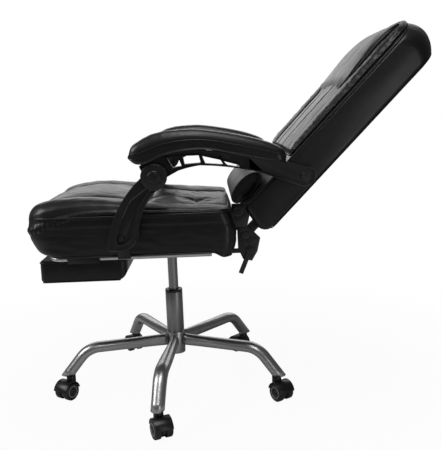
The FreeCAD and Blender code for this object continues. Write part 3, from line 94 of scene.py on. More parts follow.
def along(stops, place):
    """The value at a place on a smooth curve through stops, each a place and a value."""
    if place <= stops[0][0]:
        return stops[0][1]
    if place >= stops[-1][0]:
        return stops[-1][1]
    last = len(stops) - 1
    index = next(k for k in range(last) if place <= stops[k + 1][0])
    start, end = stops[index], stops[index + 1]
    before, after = stops[max(0, index - 1)], stops[min(last, index + 2)]
    span = end[0] - start[0]
    leave = (end[1] - before[1]) / (end[0] - before[0]) * span
    arrive = (after[1] - start[1]) / (after[0] - start[0]) * span
    share = (place - start[0]) / span
    square, cube = share ** 2, share ** 3
    return (start[1] * (2 * cube - 3 * square + 1) + leave * (cube - 2 * square + share)
            + end[1] * (3 * square - 2 * cube) + arrive * (cube - square))


def ripple(point, size, seed):
    """Soft noise from -1 to 1 with lumps of the given size."""
    return noise.noise(point / size + Vector((seed, seed * 0.37, seed * 0.11)))


# Shader maths

class Wire:
    """A shader value that takes part in sums."""

    def __init__(self, tree, socket):
        self.tree = tree
        self.socket = socket

    def maths(self, operation, first, second):
        return add_node(self.tree, "ShaderNodeMath", {"operation": operation},
                        {0: first, 1: second})

    def __add__(self, other):
        return self.maths("ADD", self, other)

    def __sub__(self, other):
        return self.maths("SUBTRACT", self, other)

    def __rsub__(self, other):
        return self.maths("SUBTRACT", other, self)

    def __mul__(self, other):
        return self.maths("MULTIPLY", self, other)

    __radd__ = __add__
    __rmul__ = __mul__


def add_node(tree, kind, settings=None, sockets=None, output=0):
    """Any node: its settings first, then the values or wires of its sockets."""
    node = tree.nodes.new(kind)
    for name, value in (settings or {}).items():
        setattr(node, name, value)
    for name, value in (sockets or {}).items():
        if isinstance(value, Wire):
            tree.links.new(value.socket, node.inputs[name])
        else:
            node.inputs[name].default_value = value
    return Wire(tree, node.outputs[output])


def new_finish(name, colour, roughness, metallic=0.0, **constants):
    """A material with its shader's steady values; returned with its tree and coordinates."""
    finish = bpy.data.materials.new(name)
    finish.use_nodes = True
    tree = finish.node_tree
    shader = tree.nodes["Principled BSDF"]
    shader.inputs["Base Color"].default_value = (*colour, 1)
    shader.inputs["Roughness"].default_value = roughness
    shader.inputs["Metallic"].default_value = metallic
    for socket, value in constants.items():
        shader.inputs[socket.replace("_", " ")].default_value = value
    finish.diffuse_color = (*colour, 1)
    place = add_node(tree, "ShaderNodeTexCoord", output="Object")
    return finish, tree, place


def feed(finish, socket, wire):
    """Links a wire to a socket of the finish's shader."""
    shader = finish.node_tree.nodes["Principled BSDF"]
    finish.node_tree.links.new(wire.socket, shader.inputs[socket])


def clouds(tree, place, size, detail=2.0, roughness=0.5):
    """Noise from 0 to 1 with lumps of a real size."""
    return add_node(tree, "ShaderNodeTexNoise", None,
                    {"Vector": place, "Scale": 1 / size, "Detail": detail,
                     "Roughness": roughness})


def pebbled(tree, place, size):
    """From 0 on the lines between pebbles to 1 on their tops."""
    edges = add_node(tree, "ShaderNodeTexVoronoi", {"feature": "DISTANCE_TO_EDGE"},
                     {"Vector": place, "Scale": 1 / size, "Randomness": 1.0})
    return add_node(tree, "ShaderNodeMapRange", None,
                    {"Value": edges, "From Min": 0.0, "From Max": 0.35,
                     "To Min": 0.0, "To Max": 1.0})


def bumped(tree, height, distance, strength, normal=None):
    sockets = {"Height": height, "Distance": distance, "Strength": strength}
    if normal:
        sockets["Normal"] = normal
    return add_node(tree, "ShaderNodeBump", None, sockets)


def tinted(tree, share, first, second):
    """A colour between two, by a wire from 0 to 1."""
    return add_node(tree, "ShaderNodeMix", {"data_type": "RGBA"},
                    {0: share, 6: (*first, 1), 7: (*second, 1)}, output=2)


def scaled(colour, factor, lift=0.0):
    return tuple(part * factor + lift for part in colour)


# Finishes: sizes and depths of what their surfaces carry

PEBBLE, PEBBLE_DEPTH = 1.5 * MM, 0.09 * MM
CREASE, CREASE_DEPTH = 9 * MM, 0.7 * MM
WAVE, WAVE_DEPTH = 60 * MM, 2.0 * MM
HANDLED_PATCH = 45 * MM
ETCHING, ETCHING_DEPTH = 0.8 * MM, 0.03 * MM
MOULD_PATCH = 30 * MM
BRUSH_RUN = (1.0, 1.0, 0.06)
BRUSH_LINE, BRUSH_DEPTH = 0.5 * MM, 0.004 * MM
SMEAR = 35 * MM
PEEL, PEEL_DEPTH = 1.6 * MM, 0.05 * MM
PAINT_PATCH = 50 * MM
PLY_RUN = (1.0, 0.08, 1.0)
PLY_STREAK, PLY_DEPTH = 7 * MM, 0.1 * MM


def leather_finish(name, colour, roughness):
    """Coated leather: pebbled grain, faint creases and patches of handled gloss."""
    finish, tree, place = new_finish(name, colour, roughness, Specular_IOR_Level=0.33,
                                     Coat_Weight=0.18, Coat_Roughness=0.2)
    grain = pebbled(tree, place, PEBBLE)
    creases = clouds(tree, place, CREASE, detail=5.0, roughness=0.62)
    waves = clouds(tree, place, WAVE, detail=1.0)
    gloss = clouds(tree, place, HANDLED_PATCH, detail=3.0)
    feed(finish, "Roughness", gloss * 0.20 + (1 - grain) * 0.08 + (roughness - 0.12))
    feed(finish, "Base Color", tinted(tree, gloss * 0.6, colour, scaled(colour, 1.5, 0.004)))
    first = bumped(tree, waves, WAVE_DEPTH, 0.35)
    second = bumped(tree, creases, CREASE_DEPTH, 0.35, first)
    feed(finish, "Normal", bumped(tree, grain, PEBBLE_DEPTH, 0.55, second))
    return finish


def plastic_finish(name, colour, roughness):
    """Moulded plastic with a fine etched grain and slightly uneven gloss."""
    finish, tree, place = new_finish(name, colour, roughness)
    grain = clouds(tree, place, ETCHING, detail=3.0)
    patches = clouds(tree, place, MOULD_PATCH)
    feed(finish, "Roughness", patches * 0.12 + grain * 0.06 + (roughness - 0.09))
    feed(finish, "Base Color", tinted(tree, patches * 0.7, colour, scaled(colour, 1.35, 0.003)))
    feed(finish, "Normal", bumped(tree, grain, ETCHING_DEPTH, 0.6))
    return finish


def metal_finish(name, colour, roughness):
    """Bare or plated metal with fine brushing along one direction and faint smears."""
    finish, tree, place = new_finish(name, colour, roughness, metallic=1.0)
    stretched = add_node(tree, "ShaderNodeMapping", None, {"Vector": place, "Scale": BRUSH_RUN})
    lines = clouds(tree, stretched, BRUSH_LINE)
    smears = clouds(tree, place, SMEAR, detail=3.0, roughness=0.6)
    feed(finish, "Roughness", smears * 0.12 + lines * 0.05 + (roughness - 0.07))
    feed(finish, "Base Color", tinted(tree, smears, colour, scaled(colour, 0.86)))
    feed(finish, "Normal", bumped(tree, lines, BRUSH_DEPTH, 0.5))
    return finish


def paint_finish(name, colour, roughness):
    """Powdered paint: fine orange peel and slightly uneven gloss."""
    finish, tree, place = new_finish(name, colour, roughness)
    skin = clouds(tree, place, PEEL)
    patches = clouds(tree, place, PAINT_PATCH)
    feed(finish, "Roughness", patches * 0.10 + (roughness - 0.05))
    feed(finish, "Base Color", tinted(tree, patches * 0.5, colour, scaled(colour, 1.2)))
    feed(finish, "Normal", bumped(tree, skin, PEEL_DEPTH, 0.4))
    return finish


def wood_finish(name, colour):
    """Stained plywood: long grain with darker streaks."""
    finish, tree, place = new_finish(name, colour, 0.75)
    stretched = add_node(tree, "ShaderNodeMapping", None, {"Vector": place, "Scale": PLY_RUN})
    streaks = clouds(tree, stretched, PLY_STREAK, detail=4.0, roughness=0.6)
    feed(finish, "Base Color", tinted(tree, streaks, colour, scaled(colour, 0.6)))
    feed(finish, "Roughness", streaks * 0.2 + 0.62)
    feed(finish, "Normal", bumped(tree, streaks, PLY_DEPTH, 0.4))
    return finish


FINISHES = {
    "black_leather": leather_finish("leather", (0.0032, 0.0032, 0.0034), 0.37),
    "black_plastic": plastic_finish("moulded_black", (0.0060, 0.0060, 0.0063), 0.34),
    "caster_plastic": plastic_finish("caster_nylon", (0.0040, 0.0040, 0.0043), 0.36),
    "chromed_steel": metal_finish("satin_chrome", (0.50, 0.50, 0.51), 0.33),
    "bright_steel": metal_finish("turned_steel", (0.55, 0.55, 0.56), 0.30),
    "grey_tube": metal_finish("column_steel", (0.34, 0.34, 0.35), 0.40),
    "black_steel": paint_finish("black_powder_coat", (0.006, 0.006, 0.006), 0.45),
    "light_steel": metal_finish("zinc_tube", (0.66, 0.66, 0.64), 0.38),
    "board_wood": wood_finish("stained_plywood", (0.030, 0.024, 0.019)),
    "soft_grip": plastic_finish("grip_plastic", (0.006, 0.006, 0.006), 0.55),
}
# Painted highlight: the pale grey of the caster rings stands in for the light caught on each wheel's hub.
HUB_PAINTED_HIGHLIGHT = plastic_finish("caster_ring_painted_highlight", (0.16, 0.16, 0.165), 0.42)


# Pieces

BODY_OF = {node: body for body, nodes in frame["record"]["behaviour"]["bodies"].items()
           for node in nodes}
SLOT_OF = {part["node"]: part["material_slot"] for part in frame["record"]["subparts"]}


def link_piece(name, mesh, slot, body, finish=None, nodes=()):
    """Puts a mesh in the scene as a piece that rides on a body and stands for CAD nodes."""
    piece = bpy.data.objects.new(name, mesh)
    bpy.context.scene.collection.objects.link(piece)
    mesh.materials.clear()
    mesh.materials.append(finish or FINISHES[slot])
    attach(piece, body)
    if nodes:
        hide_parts(*nodes)
    return piece


def finish_mesh(bm, name):
    """Ends a bmesh as a smooth mesh with its faces pointing outwards."""
    bmesh.ops.recalc_face_normals(bm, faces=bm.faces)
    mesh = bpy.data.meshes.new(name)
    bm.to_mesh(mesh)
    bm.free()
    mesh.shade_smooth()
    return mesh


def upholster(bm, name, body, node):
    """Links a leather cushion that stands for one CAD node."""
    return link_piece(name, finish_mesh(bm, name), "black_leather", body, nodes=[node])


def block(cuts, form):
    """A cube cut into a lattice, each point moved by form(a, b, c), all from -1 to 1."""
    bm = bmesh.new()
    bmesh.ops.create_cube(bm, size=2)
    for axis, count in enumerate(cuts):
        rails = [edge for edge in bm.edges
                 if abs(edge.verts[0].co[axis] - edge.verts[1].co[axis]) > 1]
        bmesh.ops.subdivide_edges(bm, edges=rails, cuts=count - 1, use_grid_fill=True)
    for vert in bm.verts:
        vert.co = form(*vert.co)
    return bm


def bridge_rings(bm, pairs):
    """Joins pairs of rings of vertices with walls."""
    for first, second in pairs:
        edges = {edge for ring in (first, second) for vert in ring for edge in vert.link_edges
                 if edge.verts[0] in ring and edge.verts[1] in ring}
        bmesh.ops.bridge_loops(bm, edges=list(edges))


def welt(bm, route, radius, closed=False, sides=8):
    """Adds a round welt along a route of points to a bmesh."""
    count = len(route)
    rings = []
    for index, point in enumerate(route):
        before = route[index - 1] if index or closed else point
        after = route[(index + 1) % count] if index + 1 < count or closed else point
        heading = (after - before).normalized()
        turn = heading.to_track_quat("Z", "Y").to_matrix().to_4x4()
        ring = bmesh.ops.create_circle(bm, segments=sides, radius=radius, cap_ends=False,
                                       matrix=Matrix.Translation(point) @ turn)["verts"]
        rings.append(ring)
    pairs = list(zip(rings, rings[1:]))
    if closed:
        pairs.append((rings[-1], rings[0]))
    bridge_rings(bm, pairs)
    if not closed:
        for ring in (rings[0], rings[-1]):
            bmesh.ops.contextual_create(bm, geom=ring)


def level_route(point, steps_along, steps_across, c):
    """The closed route round a flat-lying cushion at one height, from its own surface."""
    left = [point(LEFT, -1 + k / steps_along, c) for k in range(2 * steps_along + 1)]
    rear = [point(1 - k / steps_across, 1, c) for k in range(2 * steps_across + 1)]
    right = [point(RIGHT, 1 - k / steps_along, c) for k in range(2 * steps_along + 1)]
    front = [point(-1 + k / steps_across, -1, c) for k in range(2 * steps_across + 1)]
    return left + rear[1:] + right[1:] + front[1:-1]


def upright_route(point, steps_up, steps_across, b):
    """The closed route round the back at one depth, from its own surface."""
    left = [point(LEFT, b, -1 + 2 * k / steps_up) for k in range(steps_up + 1)]
    top = [point(1 - 2 * k / steps_across, b, 1) for k in range(steps_across + 1)]
    right = [point(RIGHT, b, 1 - 2 * k / steps_up) for k in range(steps_up + 1)]
    under = [point(-1 + 2 * k / steps_across, b, -1) for k in range(steps_across + 1)]
    return left + top[1:] + right[1:] + under[1:-1]


# Seat border

SEAT_HALF = 0.254
SEAT_LOW = 0.453
SEAT_SEAM = 0.552
SEAT_FRONT = -0.345
SEAT_REAR = 0.178
BORDER_FRONT_CORNER, BORDER_REAR_CORNER = 0.055, 0.030
REAR_TUCK, REAR_BULGE = 0.012, 0.014
CORNER_HANG = 0.012
BORDER_BULGE = 0.0026
BORDER_SAG, BORDER_CREASE = 0.0013, 0.0016
SEAM_WELT, FOOT_WELT, CORNER_WELT = 2.6 * MM, 2.0 * MM, 1.5 * MM
# How far the seam's welt stands forward at the rear, and up, in millimetres
SEAM_FORWARD, SEAM_UP = 2.8, 1.0
# How far the front draws back, by height above the board
BORDER_NOSE = ((0, 0.050), (0.0065, 0.0275), (0.024, 0.012), (0.059, 0.000), (0.099, 0.010))


def seat_border_point(a, b, c):
    t = (c + 1) / 2
    rise = 0.5 - 0.5 * math.cos(math.pi * t) if t < 0.5 else t
    height = mix(0, SEAT_SEAM - SEAT_LOW, rise)
    arch = math.sin(math.pi * t)
    front = SEAT_FRONT + along(BORDER_NOSE, height)
    rear = SEAT_REAR - REAR_TUCK + REAR_BULGE * arch
    y = mix(front, rear, crowded(b, 0.55))
    z = SEAT_LOW + height
    z -= CORNER_HANG * smooth(0.120, 0.150, y) * smooth(0.84, 0.93, abs(a)) * (1 - t) ** 2
    reach = SEAT_HALF - rounded_end(y - front, BORDER_FRONT_CORNER)
    reach -= rounded_end(rear - y, BORDER_REAR_CORNER)
    bulge = BORDER_BULGE * (arch - dent(t - 0.72, 0.030))
    bulge -= 0.0020 * smooth(0.93, 1, t) + 0.0022 * smooth(0.12, 0, t)
    x = a * reach
    sag = ripple(Vector((x * 0.2, y * 0.5, z * 2.2)), 0.026, 3.1)
    crease = ripple(Vector((x * 0.1, y * 0.35, z * 4.0)), 0.030, 8.6) * smooth(-0.20, -0.33, y)
    push = (BORDER_SAG * sag + BORDER_CREASE * crease) * arch
    x += math.copysign((bulge + push) * smooth(0.9, 1.0, abs(a)), a)
    if abs(b) > 0.98:
        y += math.copysign(push + 0.6 * bulge, b) * smooth(0.9, 1.0, abs(b))
    return Vector((x, y, z))


def make_seat_border():
    bm = block((60, 90, 26), seat_border_point)
    seam = [point + mm(0, -SEAM_FORWARD * smooth(0.13, 0.165, point.y), SEAM_UP)
            for point in level_route(seat_border_point, 60, 40, 1)]
    welt(bm, seam, SEAM_WELT, closed=True)
    welt(bm, level_route(seat_border_point, 60, 40, -1), FOOT_WELT, closed=True, sides=6)
    for side in (LEFT, RIGHT):
        corner = [seat_border_point(side, 0.90, 1 - k / 12) for k in range(25)]
        welt(bm, corner, CORNER_WELT, sides=6)
    piece = upholster(bm, "seat_border", "seat", "seat_base_cushion")


# Seat cushion: heights above the seam, by place from front to rear

CROWN = ((-0.351, -0.006), (-0.344, 0.009), (-0.323, 0.026), (-0.279, 0.042), (-0.205, 0.050),
         (-0.111, 0.041), (-0.001, 0.027), (0.099, 0.016), (0.149, 0.011), (0.164, 0.007))
ROLL = ((-0.351, -0.004), (-0.344, 0.013), (-0.323, 0.031), (-0.279, 0.042), (-0.205, 0.046),
        (-0.111, 0.037), (-0.001, 0.024), (0.099, 0.015), (0.149, 0.011), (0.164, 0.008))
SIDE_LOW = ((-0.351, -0.040), (-0.340, -0.048), (-0.320, -0.046), (-0.279, -0.030),
            (-0.205, -0.008), (-0.130, 0.001), (0.164, 0.002))
RUCHED = ((-0.345, 0.5), (-0.32, 1.0), (-0.25, 1.0), (-0.20, 0.3), (0.1, 0.12))
LANE = 0.150
LANE_DROP, LANE_GROOVE = 0.009, 0.006
CUSHION_FRONT_CORNER, CUSHION_REAR_CORNER = 0.058, 0.026
TUFTS = [(x, y) for x in (-0.075, 0.075) for y in (-0.041, 0.079)]
TUFT_REACH = 0.12
TUFT_PULL, TUFT_DISH, TUFT_PLEAT = 0.005, 0.006, 0.0008
CROSS_SEAM = 0.0026
SEAT_FOLD, SEAT_PINCH = 0.0017, 0.0013
RUCHE, RUCHE_STEP = 0.0024, 0.0125


def tufted(x, y):
    """How far the tufts pull the cushion down at a place."""
    pull = 0.0
    for tuft_x, tuft_y in TUFTS:
        gap = math.hypot(x - tuft_x, y - tuft_y)
        if gap > TUFT_REACH:
            continue
        turn = math.atan2(y - tuft_y, x - tuft_x)
        pull += TUFT_PULL * dent(gap, 0.020) + TUFT_DISH * dent(gap, 0.055)
        pull -= TUFT_PLEAT * math.cos(6 * turn + tuft_x * 40) * dent(gap - 0.028, 0.018)
    return pull


def seat_top_point(a, b, c):
    t = (c + 1) / 2
    front = SEAT_FRONT + 0.002 - 0.008 * math.sin(math.pi * (0.15 + 0.7 * t))
    rear = SEAT_REAR - 0.014
    y = mix(front, rear, crowded(b, 0.5))
    reach = SEAT_HALF - rounded_end(y - front, CUSHION_FRONT_CORNER)
    reach -= rounded_end(rear - y, CUSHION_REAR_CORNER)
    s = abs(a)
    x = a * reach
    roll_in = (s * reach - LANE) / max(0.02, reach - LANE)
    low = SEAT_SEAM + along(SIDE_LOW, y)
    roll = SEAT_SEAM + along(ROLL, y)
    crown = SEAT_SEAM + along(CROWN, y)
    valley = min(roll, crown) - LANE_DROP
    side = mix(low, roll, 0.45)
    if roll_in <= 0:
        top = mix(crown, valley, (abs(x) / LANE) ** 3.2)
    elif roll_in < 0.5:
        top = mix(valley, roll, math.sin(math.pi * roll_in))
    else:
        top = mix(side, roll, math.sqrt(max(0.0, 1 - (2 * roll_in - 1) ** 2)))
    top -= LANE_GROOVE * dent(abs(x) - LANE, 0.005) * smooth(-0.335, -0.26, y)
    top -= tufted(x, y)
    across = dent(y - TUFTS[0][1], 0.005) + dent(y - TUFTS[1][1], 0.005)
    top -= CROSS_SEAM * across * (1 - smooth(LANE - 0.02, LANE, abs(x)))
    fold = ripple(Vector((x * 0.35, y, 0)), 0.034, 7.3)
    fold += 0.5 * ripple(Vector((x, y * 0.5, 0)), 0.015, 1.3)
    top += SEAT_FOLD * fold * smooth(-0.345, -0.29, y)
    pinch = dent(abs(x) - LANE - 0.016, 0.014) * ripple(Vector((x * 0.2, y, 0)), 0.012, 2.7)
    top += SEAT_PINCH * pinch * smooth(-0.33, -0.24, y)
    z = mix(low, top, t)
    if s > 0.999:
        z = mix(low, side, t)
        wide = 0.0075 * math.sin(math.pi * min(1.0, 0.12 + t * 0.8)) - 0.006
        wobble = ripple(Vector((y, 0, z * 0.4)), 0.022, 1.9)
        ruche = math.sin(y * 2 * math.pi / RUCHE_STEP + 2.6 * wobble)
        wide += RUCHE * ruche * dent(t - 0.45, 0.30) * along(RUCHED, y)
        wide -= 0.0050 * dent(t, 0.12)
        wide += 0.0012 * ripple(Vector((0, y, z * 2.0)), 0.03, 6.6)
        x = math.copysign(reach + wide, a)
    return Vector((x, y, z))


def make_seat_cushion():
    bm = block((128, 130, 14), seat_top_point)
    floor = SEAT_SEAM + 0.0005
    for vert in bm.verts:
        inside = abs(vert.co.x) < SEAT_HALF - 0.02 and vert.co.y > SEAT_FRONT + 0.02
        if vert.co.z < floor and inside:
            vert.co.z = floor
    piece = upholster(bm, "seat_cushion", "seat", "seat_top_cushion")


# Back border, laid out upright about the recline axis and then leaned

BACK_HALF = 0.249
BACK_REAR = 0.033
BACK_FRONT = -0.055
BACK_LOW = 0.053
BACK_DROP = 0.020
BACK_SWELL = 0.020
BACK_SIDE_TOP = 0.620
BACK_TOP = 0.688
BACK_TOP_CORNER, BACK_LOW_CORNER = 0.030, 0.018
BACK_REAR_HEEL, BACK_FRONT_HEEL = 0.036, 0.012
BACK_EDGE = 0.006
BACK_REAR_SWELL = 0.005
FRONT_WELT, REAR_WELT = 2.4 * MM, 1.3 * MM


def back_top_at(x):
    return mix(BACK_TOP, BACK_SIDE_TOP, min(1.0, abs(x) / BACK_HALF) ** 2.2)


def back_border_point(a, b, c):
    t = crowded(c, 0.35)
    behind = (b + 1) / 2
    depth = mix(BACK_FRONT, BACK_REAR, behind)
    edge = rounded_end((1 - abs(b)) * 0.044, BACK_EDGE)
    low = BACK_LOW - BACK_DROP * behind + rounded_end(BACK_REAR - depth, BACK_REAR_HEEL)
    low += rounded_end(depth - BACK_FRONT, BACK_FRONT_HEEL)
    swell = 4 * BACK_SWELL * behind * (1 - behind)
    side_z = mix(low, BACK_SIDE_TOP, t)
    reach = BACK_HALF - rounded_end(BACK_SIDE_TOP - side_z, BACK_TOP_CORNER)
    reach -= rounded_end(side_z - low, BACK_LOW_CORNER) + edge
    x = a * reach
    z = mix(low, back_top_at(x) + swell - rounded_end(BACK_REAR - depth, 0.010) * 0.5, t)
    push = 0.0016 * math.sin(math.pi * behind)
    push += 0.0012 * ripple(Vector((0, depth, z * 0.3)), 0.05, 5.0)
    x += math.copysign(push * smooth(0.92, 1.0, abs(a)), a)
    if b > 0.99:
        depth += BACK_REAR_SWELL * (1 - a * a) * math.sin(math.pi * t)
    return LEANED @ Vector((x, depth, z))


def make_back_border():
    bm = block((70, 16, 100), back_border_point)
    front_route = upright_route(back_border_point, 110, 80, -0.97)
    rear_route = upright_route(back_border_point, 110, 80, 0.97)
    welt(bm, front_route, FRONT_WELT, closed=True)
    welt(bm, rear_route, REAR_WELT, closed=True, sides=6)
    piece = upholster(bm, "back_border", "back", "back_base_cushion")


# Back pillow

PILLOW_HALF = 0.238
PILLOW_LOW = 0.226
PILLOW_BACK = -0.0556
PILLOW_TOP_CORNER, PILLOW_LOW_CORNER = 0.050, 0.024
# Share of its full thickness, by height
PILLOW_FULL = ((0.226, 0.35), (0.240, 0.75), (0.286, 0.92), (0.416, 1.0), (0.530, 1.05),
               (0.600, 1.0), (0.640, 0.85), (0.672, 0.55), (0.694, 0.2))
PILLOW_EDGE, PILLOW_ROLL, PILLOW_VALLEY = 0.011, 0.0185, 0.0110
BACK_LANE, BACK_LANE_GROOVE = 0.165, 0.0045
CHANNEL, CHANNEL_GROOVE = 0.055, 0.0032
PILLOW_WELT = 2.0 * MM


def back_pillow_point(a, b, c):
    """b is -1 on the face and 1 where the pillow rests on the border."""
    out = (1 - b) / 2
    t = crowded(c, 0.4)
    side_top = BACK_SIDE_TOP + 0.004
    side_z = mix(PILLOW_LOW, side_top, t)
    reach = PILLOW_HALF - rounded_end(side_top - side_z, PILLOW_TOP_CORNER)
    reach -= rounded_end(side_z - PILLOW_LOW, PILLOW_LOW_CORNER)
    x = a * reach
    z = mix(PILLOW_LOW, back_top_at(x) - 0.002, t)
    s = abs(a)
    roll_in = (s * reach - BACK_LANE) / max(0.015, reach - BACK_LANE)
    full = along(PILLOW_FULL, z)
    edge, roll, valley = PILLOW_EDGE * full, PILLOW_ROLL * full, PILLOW_VALLEY * full
    if roll_in <= 0:
        thick = mix(roll, valley, (abs(x) / BACK_LANE) ** 3)
        thick -= CHANNEL_GROOVE * dent(abs(x) - CHANNEL, 0.005)
    elif roll_in < 0.5:
        thick = mix(valley, roll, math.sin(math.pi * roll_in))
    else:
        thick = mix(edge, roll, math.sqrt(max(0.0, 1 - (2 * roll_in - 1) ** 2)))
    thick *= mix(0.55, 1.0, min(smooth(0, 0.03, t), smooth(0, 0.03, 1 - t)))
    thick -= BACK_LANE_GROOVE * dent(abs(x) - BACK_LANE, 0.004)
    gather = ripple(Vector((x * 0.2, 0, z)), 0.0085, 2.8)
    gather += 0.6 * ripple(Vector((x * 0.3, 0, z)), 0.022, 7.8)
    crease = ripple(Vector((x * 0.4, 0, z * 1.3)), 0.016, 2.2)
    thick += (0.0013 * gather + 0.0012 * crease) * smooth(0.70, 0.95, s)
    thick += 0.0011 * ripple(Vector((x, 0, z)), 0.05, 4.4)
    depth = PILLOW_BACK - thick * out
    swell = 0.0050 * math.sin(math.pi * min(1.0, out * 1.1))
    swell += 0.0014 * gather * out - 0.0090 * (1 - smooth(0.0, 0.45, out))
    if s > 0.999:
        x += math.copysign(swell, a)
    if c > 0.999:
        z += max(0.0, swell)
    return LEANED @ Vector((x, depth, z))


def make_back_pillow():
    bm = block((110, 10, 110), back_pillow_point)
    welt(bm, upright_route(back_pillow_point, 110, 80, -0.2), PILLOW_WELT, closed=True)
    piece = upholster(bm, "back_pillow", "back", "back_front_pillow")


# Head cushion

HEAD_HALF = 0.168
HEAD_LOW = 0.436
HEAD_TOP = 0.662
HEAD_BACK = -0.066
HEAD_TOP_CORNER, HEAD_LOW_CORNER = 0.055, 0.050
HEAD_THICK = 0.0250
HEAD_FULL = ((0.436, 0.12), (0.470, 0.58), (0.525, 0.90), (0.580, 1.0), (0.630, 0.72),
             (0.662, 0.05))
GATHER, GATHER_STEP = 0.0016, 0.022
HEAD_WELT = 1.8 * MM


def head_cushion_point(a, b, c):
    out = (1 - b) / 2
    z = mix(HEAD_LOW, HEAD_TOP, crowded(c, 0.5))
    reach = HEAD_HALF - rounded_end(HEAD_TOP - z, HEAD_TOP_CORNER)
    reach -= rounded_end(z - HEAD_LOW, HEAD_LOW_CORNER)
    x = a * reach
    s = abs(a)
    face = HEAD_THICK * along(HEAD_FULL, z) * (1 - 0.25 * s ** 3)
    wobble = ripple(Vector((x, 0, 0)), 0.03, 6.1)
    gathers = math.cos(x * 2 * math.pi / GATHER_STEP + 1.5 * wobble)
    face += GATHER * gathers * (1 - smooth(HEAD_LOW, HEAD_LOW + 0.055, z))
    face += 0.001 * ripple(Vector((x, 0, z)), 0.04, 8.8)
    if s > 0.999:
        x += math.copysign(0.004 * math.sin(math.pi * out), a)
    return LEANED @ Vector((x, HEAD_BACK - face * out, z))


def make_head_cushion():
    bm = block((80, 10, 60), head_cushion_point)
    welt(bm, upright_route(head_cushion_point, 60, 60, -0.75), HEAD_WELT, closed=True)
    piece = upholster(bm, "head_cushion", "back", "head_pillow")


# Lumbar roll

LUMBAR_HALF = 0.189
LUMBAR_DEEP = 0.0230
LUMBAR_TALL = 0.0510
LUMBAR_AT = (-0.0788, 0.092)
LUMBAR_SIDES, LUMBAR_STEPS = 64, 90
# The dished end: place past the roll's half length, and share of the full section
LUMBAR_CAP = ((0.0008, 0.90), (-0.0006, 0.84), (0.0012, 0.70), (0.0028, 0.50), (0.0032, 0.28),
              (0.0026, 0.08))
LUMBAR_FAN = 0.0012
LUMBAR_WELT, LUMBAR_WELT_STEPS = 2.4 * MM, 48


def lumbar_point(x, turn, share):
    """A point of the roll: x along it, turn round it, share of its full section."""
    skin = Vector((x, math.cos(turn) * 0.05, math.sin(turn) * 0.05))
    crease = 1 + 0.012 * ripple(skin, 0.03, 9.4)
    flat = 1.0 - 0.06 * max(0.0, math.cos(turn)) ** 4
    depth = LUMBAR_AT[0] + LUMBAR_DEEP * share * crease * flat * math.cos(turn)
    height = LUMBAR_AT[1] + LUMBAR_TALL * share * crease * math.sin(turn)
    return LEANED @ Vector((x, depth, height))


def make_lumbar_roll():
    """An oval roll whose dished ends are sewn in with piping."""
    stations = []
    for k in range(LUMBAR_STEPS + 1):
        place = -1 + 2 * k / LUMBAR_STEPS
        share = 0.95 + 0.05 * math.sqrt(max(0.0, 1 - abs(place) ** 12))
        stations.append((place * LUMBAR_HALF, share))
    cap = [(LUMBAR_HALF + past, share) for past, share in LUMBAR_CAP]
    stations = [(-x, share) for x, share in reversed(cap)] + stations + cap
    bm = bmesh.new()
    rings = []
    for x, share in stations:
        ring = bmesh.ops.create_circle(bm, segments=LUMBAR_SIDES, radius=1.0)["verts"]
        for vert in ring:
            turn = math.atan2(vert.co.y, vert.co.x)
            fan = LUMBAR_FAN * math.sin(5 * turn) * share if share < 0.85 else 0.0
            vert.co = lumbar_point(x + math.copysign(fan, x), turn, share)
        rings.append(ring)
    bridge_rings(bm, zip(rings, rings[1:]))
    for ring in (rings[0], rings[-1]):
        bmesh.ops.contextual_create(bm, geom=ring)
    for side in (LEFT, RIGHT):
        route = [lumbar_point(side * LUMBAR_HALF, 2 * math.pi * k / LUMBAR_WELT_STEPS, 0.945)
                 for k in range(LUMBAR_WELT_STEPS)]
        welt(bm, route, LUMBAR_WELT, closed=True)
    piece = upholster(bm, "lumbar_roll", "lumbar", "lumbar_pillow")


# Footrest cushion

REST_REAR_HEEL, REST_FRONT_HEEL = 0.030, 0.014
REST_FRONT_CORNER, REST_REAR_CORNER = 0.016, 0.018
REST_DISH = 0.002
REST_WELT = 1.8 * MM


def make_footrest_cushion():
    low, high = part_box("footrest_pad")
    middle = (low + high) / 2
    half = (high - low) / 2

    def point(a, b, c):
        t = (c + 1) / 2
        rear_low = rounded_end(half.z * 2 * t, REST_REAR_HEEL)
        front_low = rounded_end(half.z * 2 * t, REST_FRONT_HEEL)
        y = mix(low.y + front_low, high.y - rear_low, crowded(b, 0.5))
        z = mix(low.z, high.z, t)
        reach = half.x - 0.001 - rounded_end(y - low.y, REST_FRONT_CORNER)
        reach -= rounded_end(high.y - y, REST_REAR_CORNER)
        swell = 0.0015 * math.sin(math.pi * t) + 0.0006 * ripple(Vector((0, y, z)), 0.04, 3.7)
        side = smooth(0.9, 1.0, abs(a))
        x = middle.x + a * (reach - 0.0025 * side + swell * side)
        if c < -0.99:
            z += REST_DISH * (1 - (1 - a * a) * (1 - b * b))
        return Vector((x, y, z))

    bm = block((50, 36, 12), point)
    for c in (-0.94, 0.96):
        welt(bm, level_route(point, 30, 30, c), REST_WELT, closed=True, sides=6)
    piece = upholster(bm, "footrest_cushion", "footrest", "footrest_pad")


# Arm pads: heights of the top and of the underside, by place from front to rear

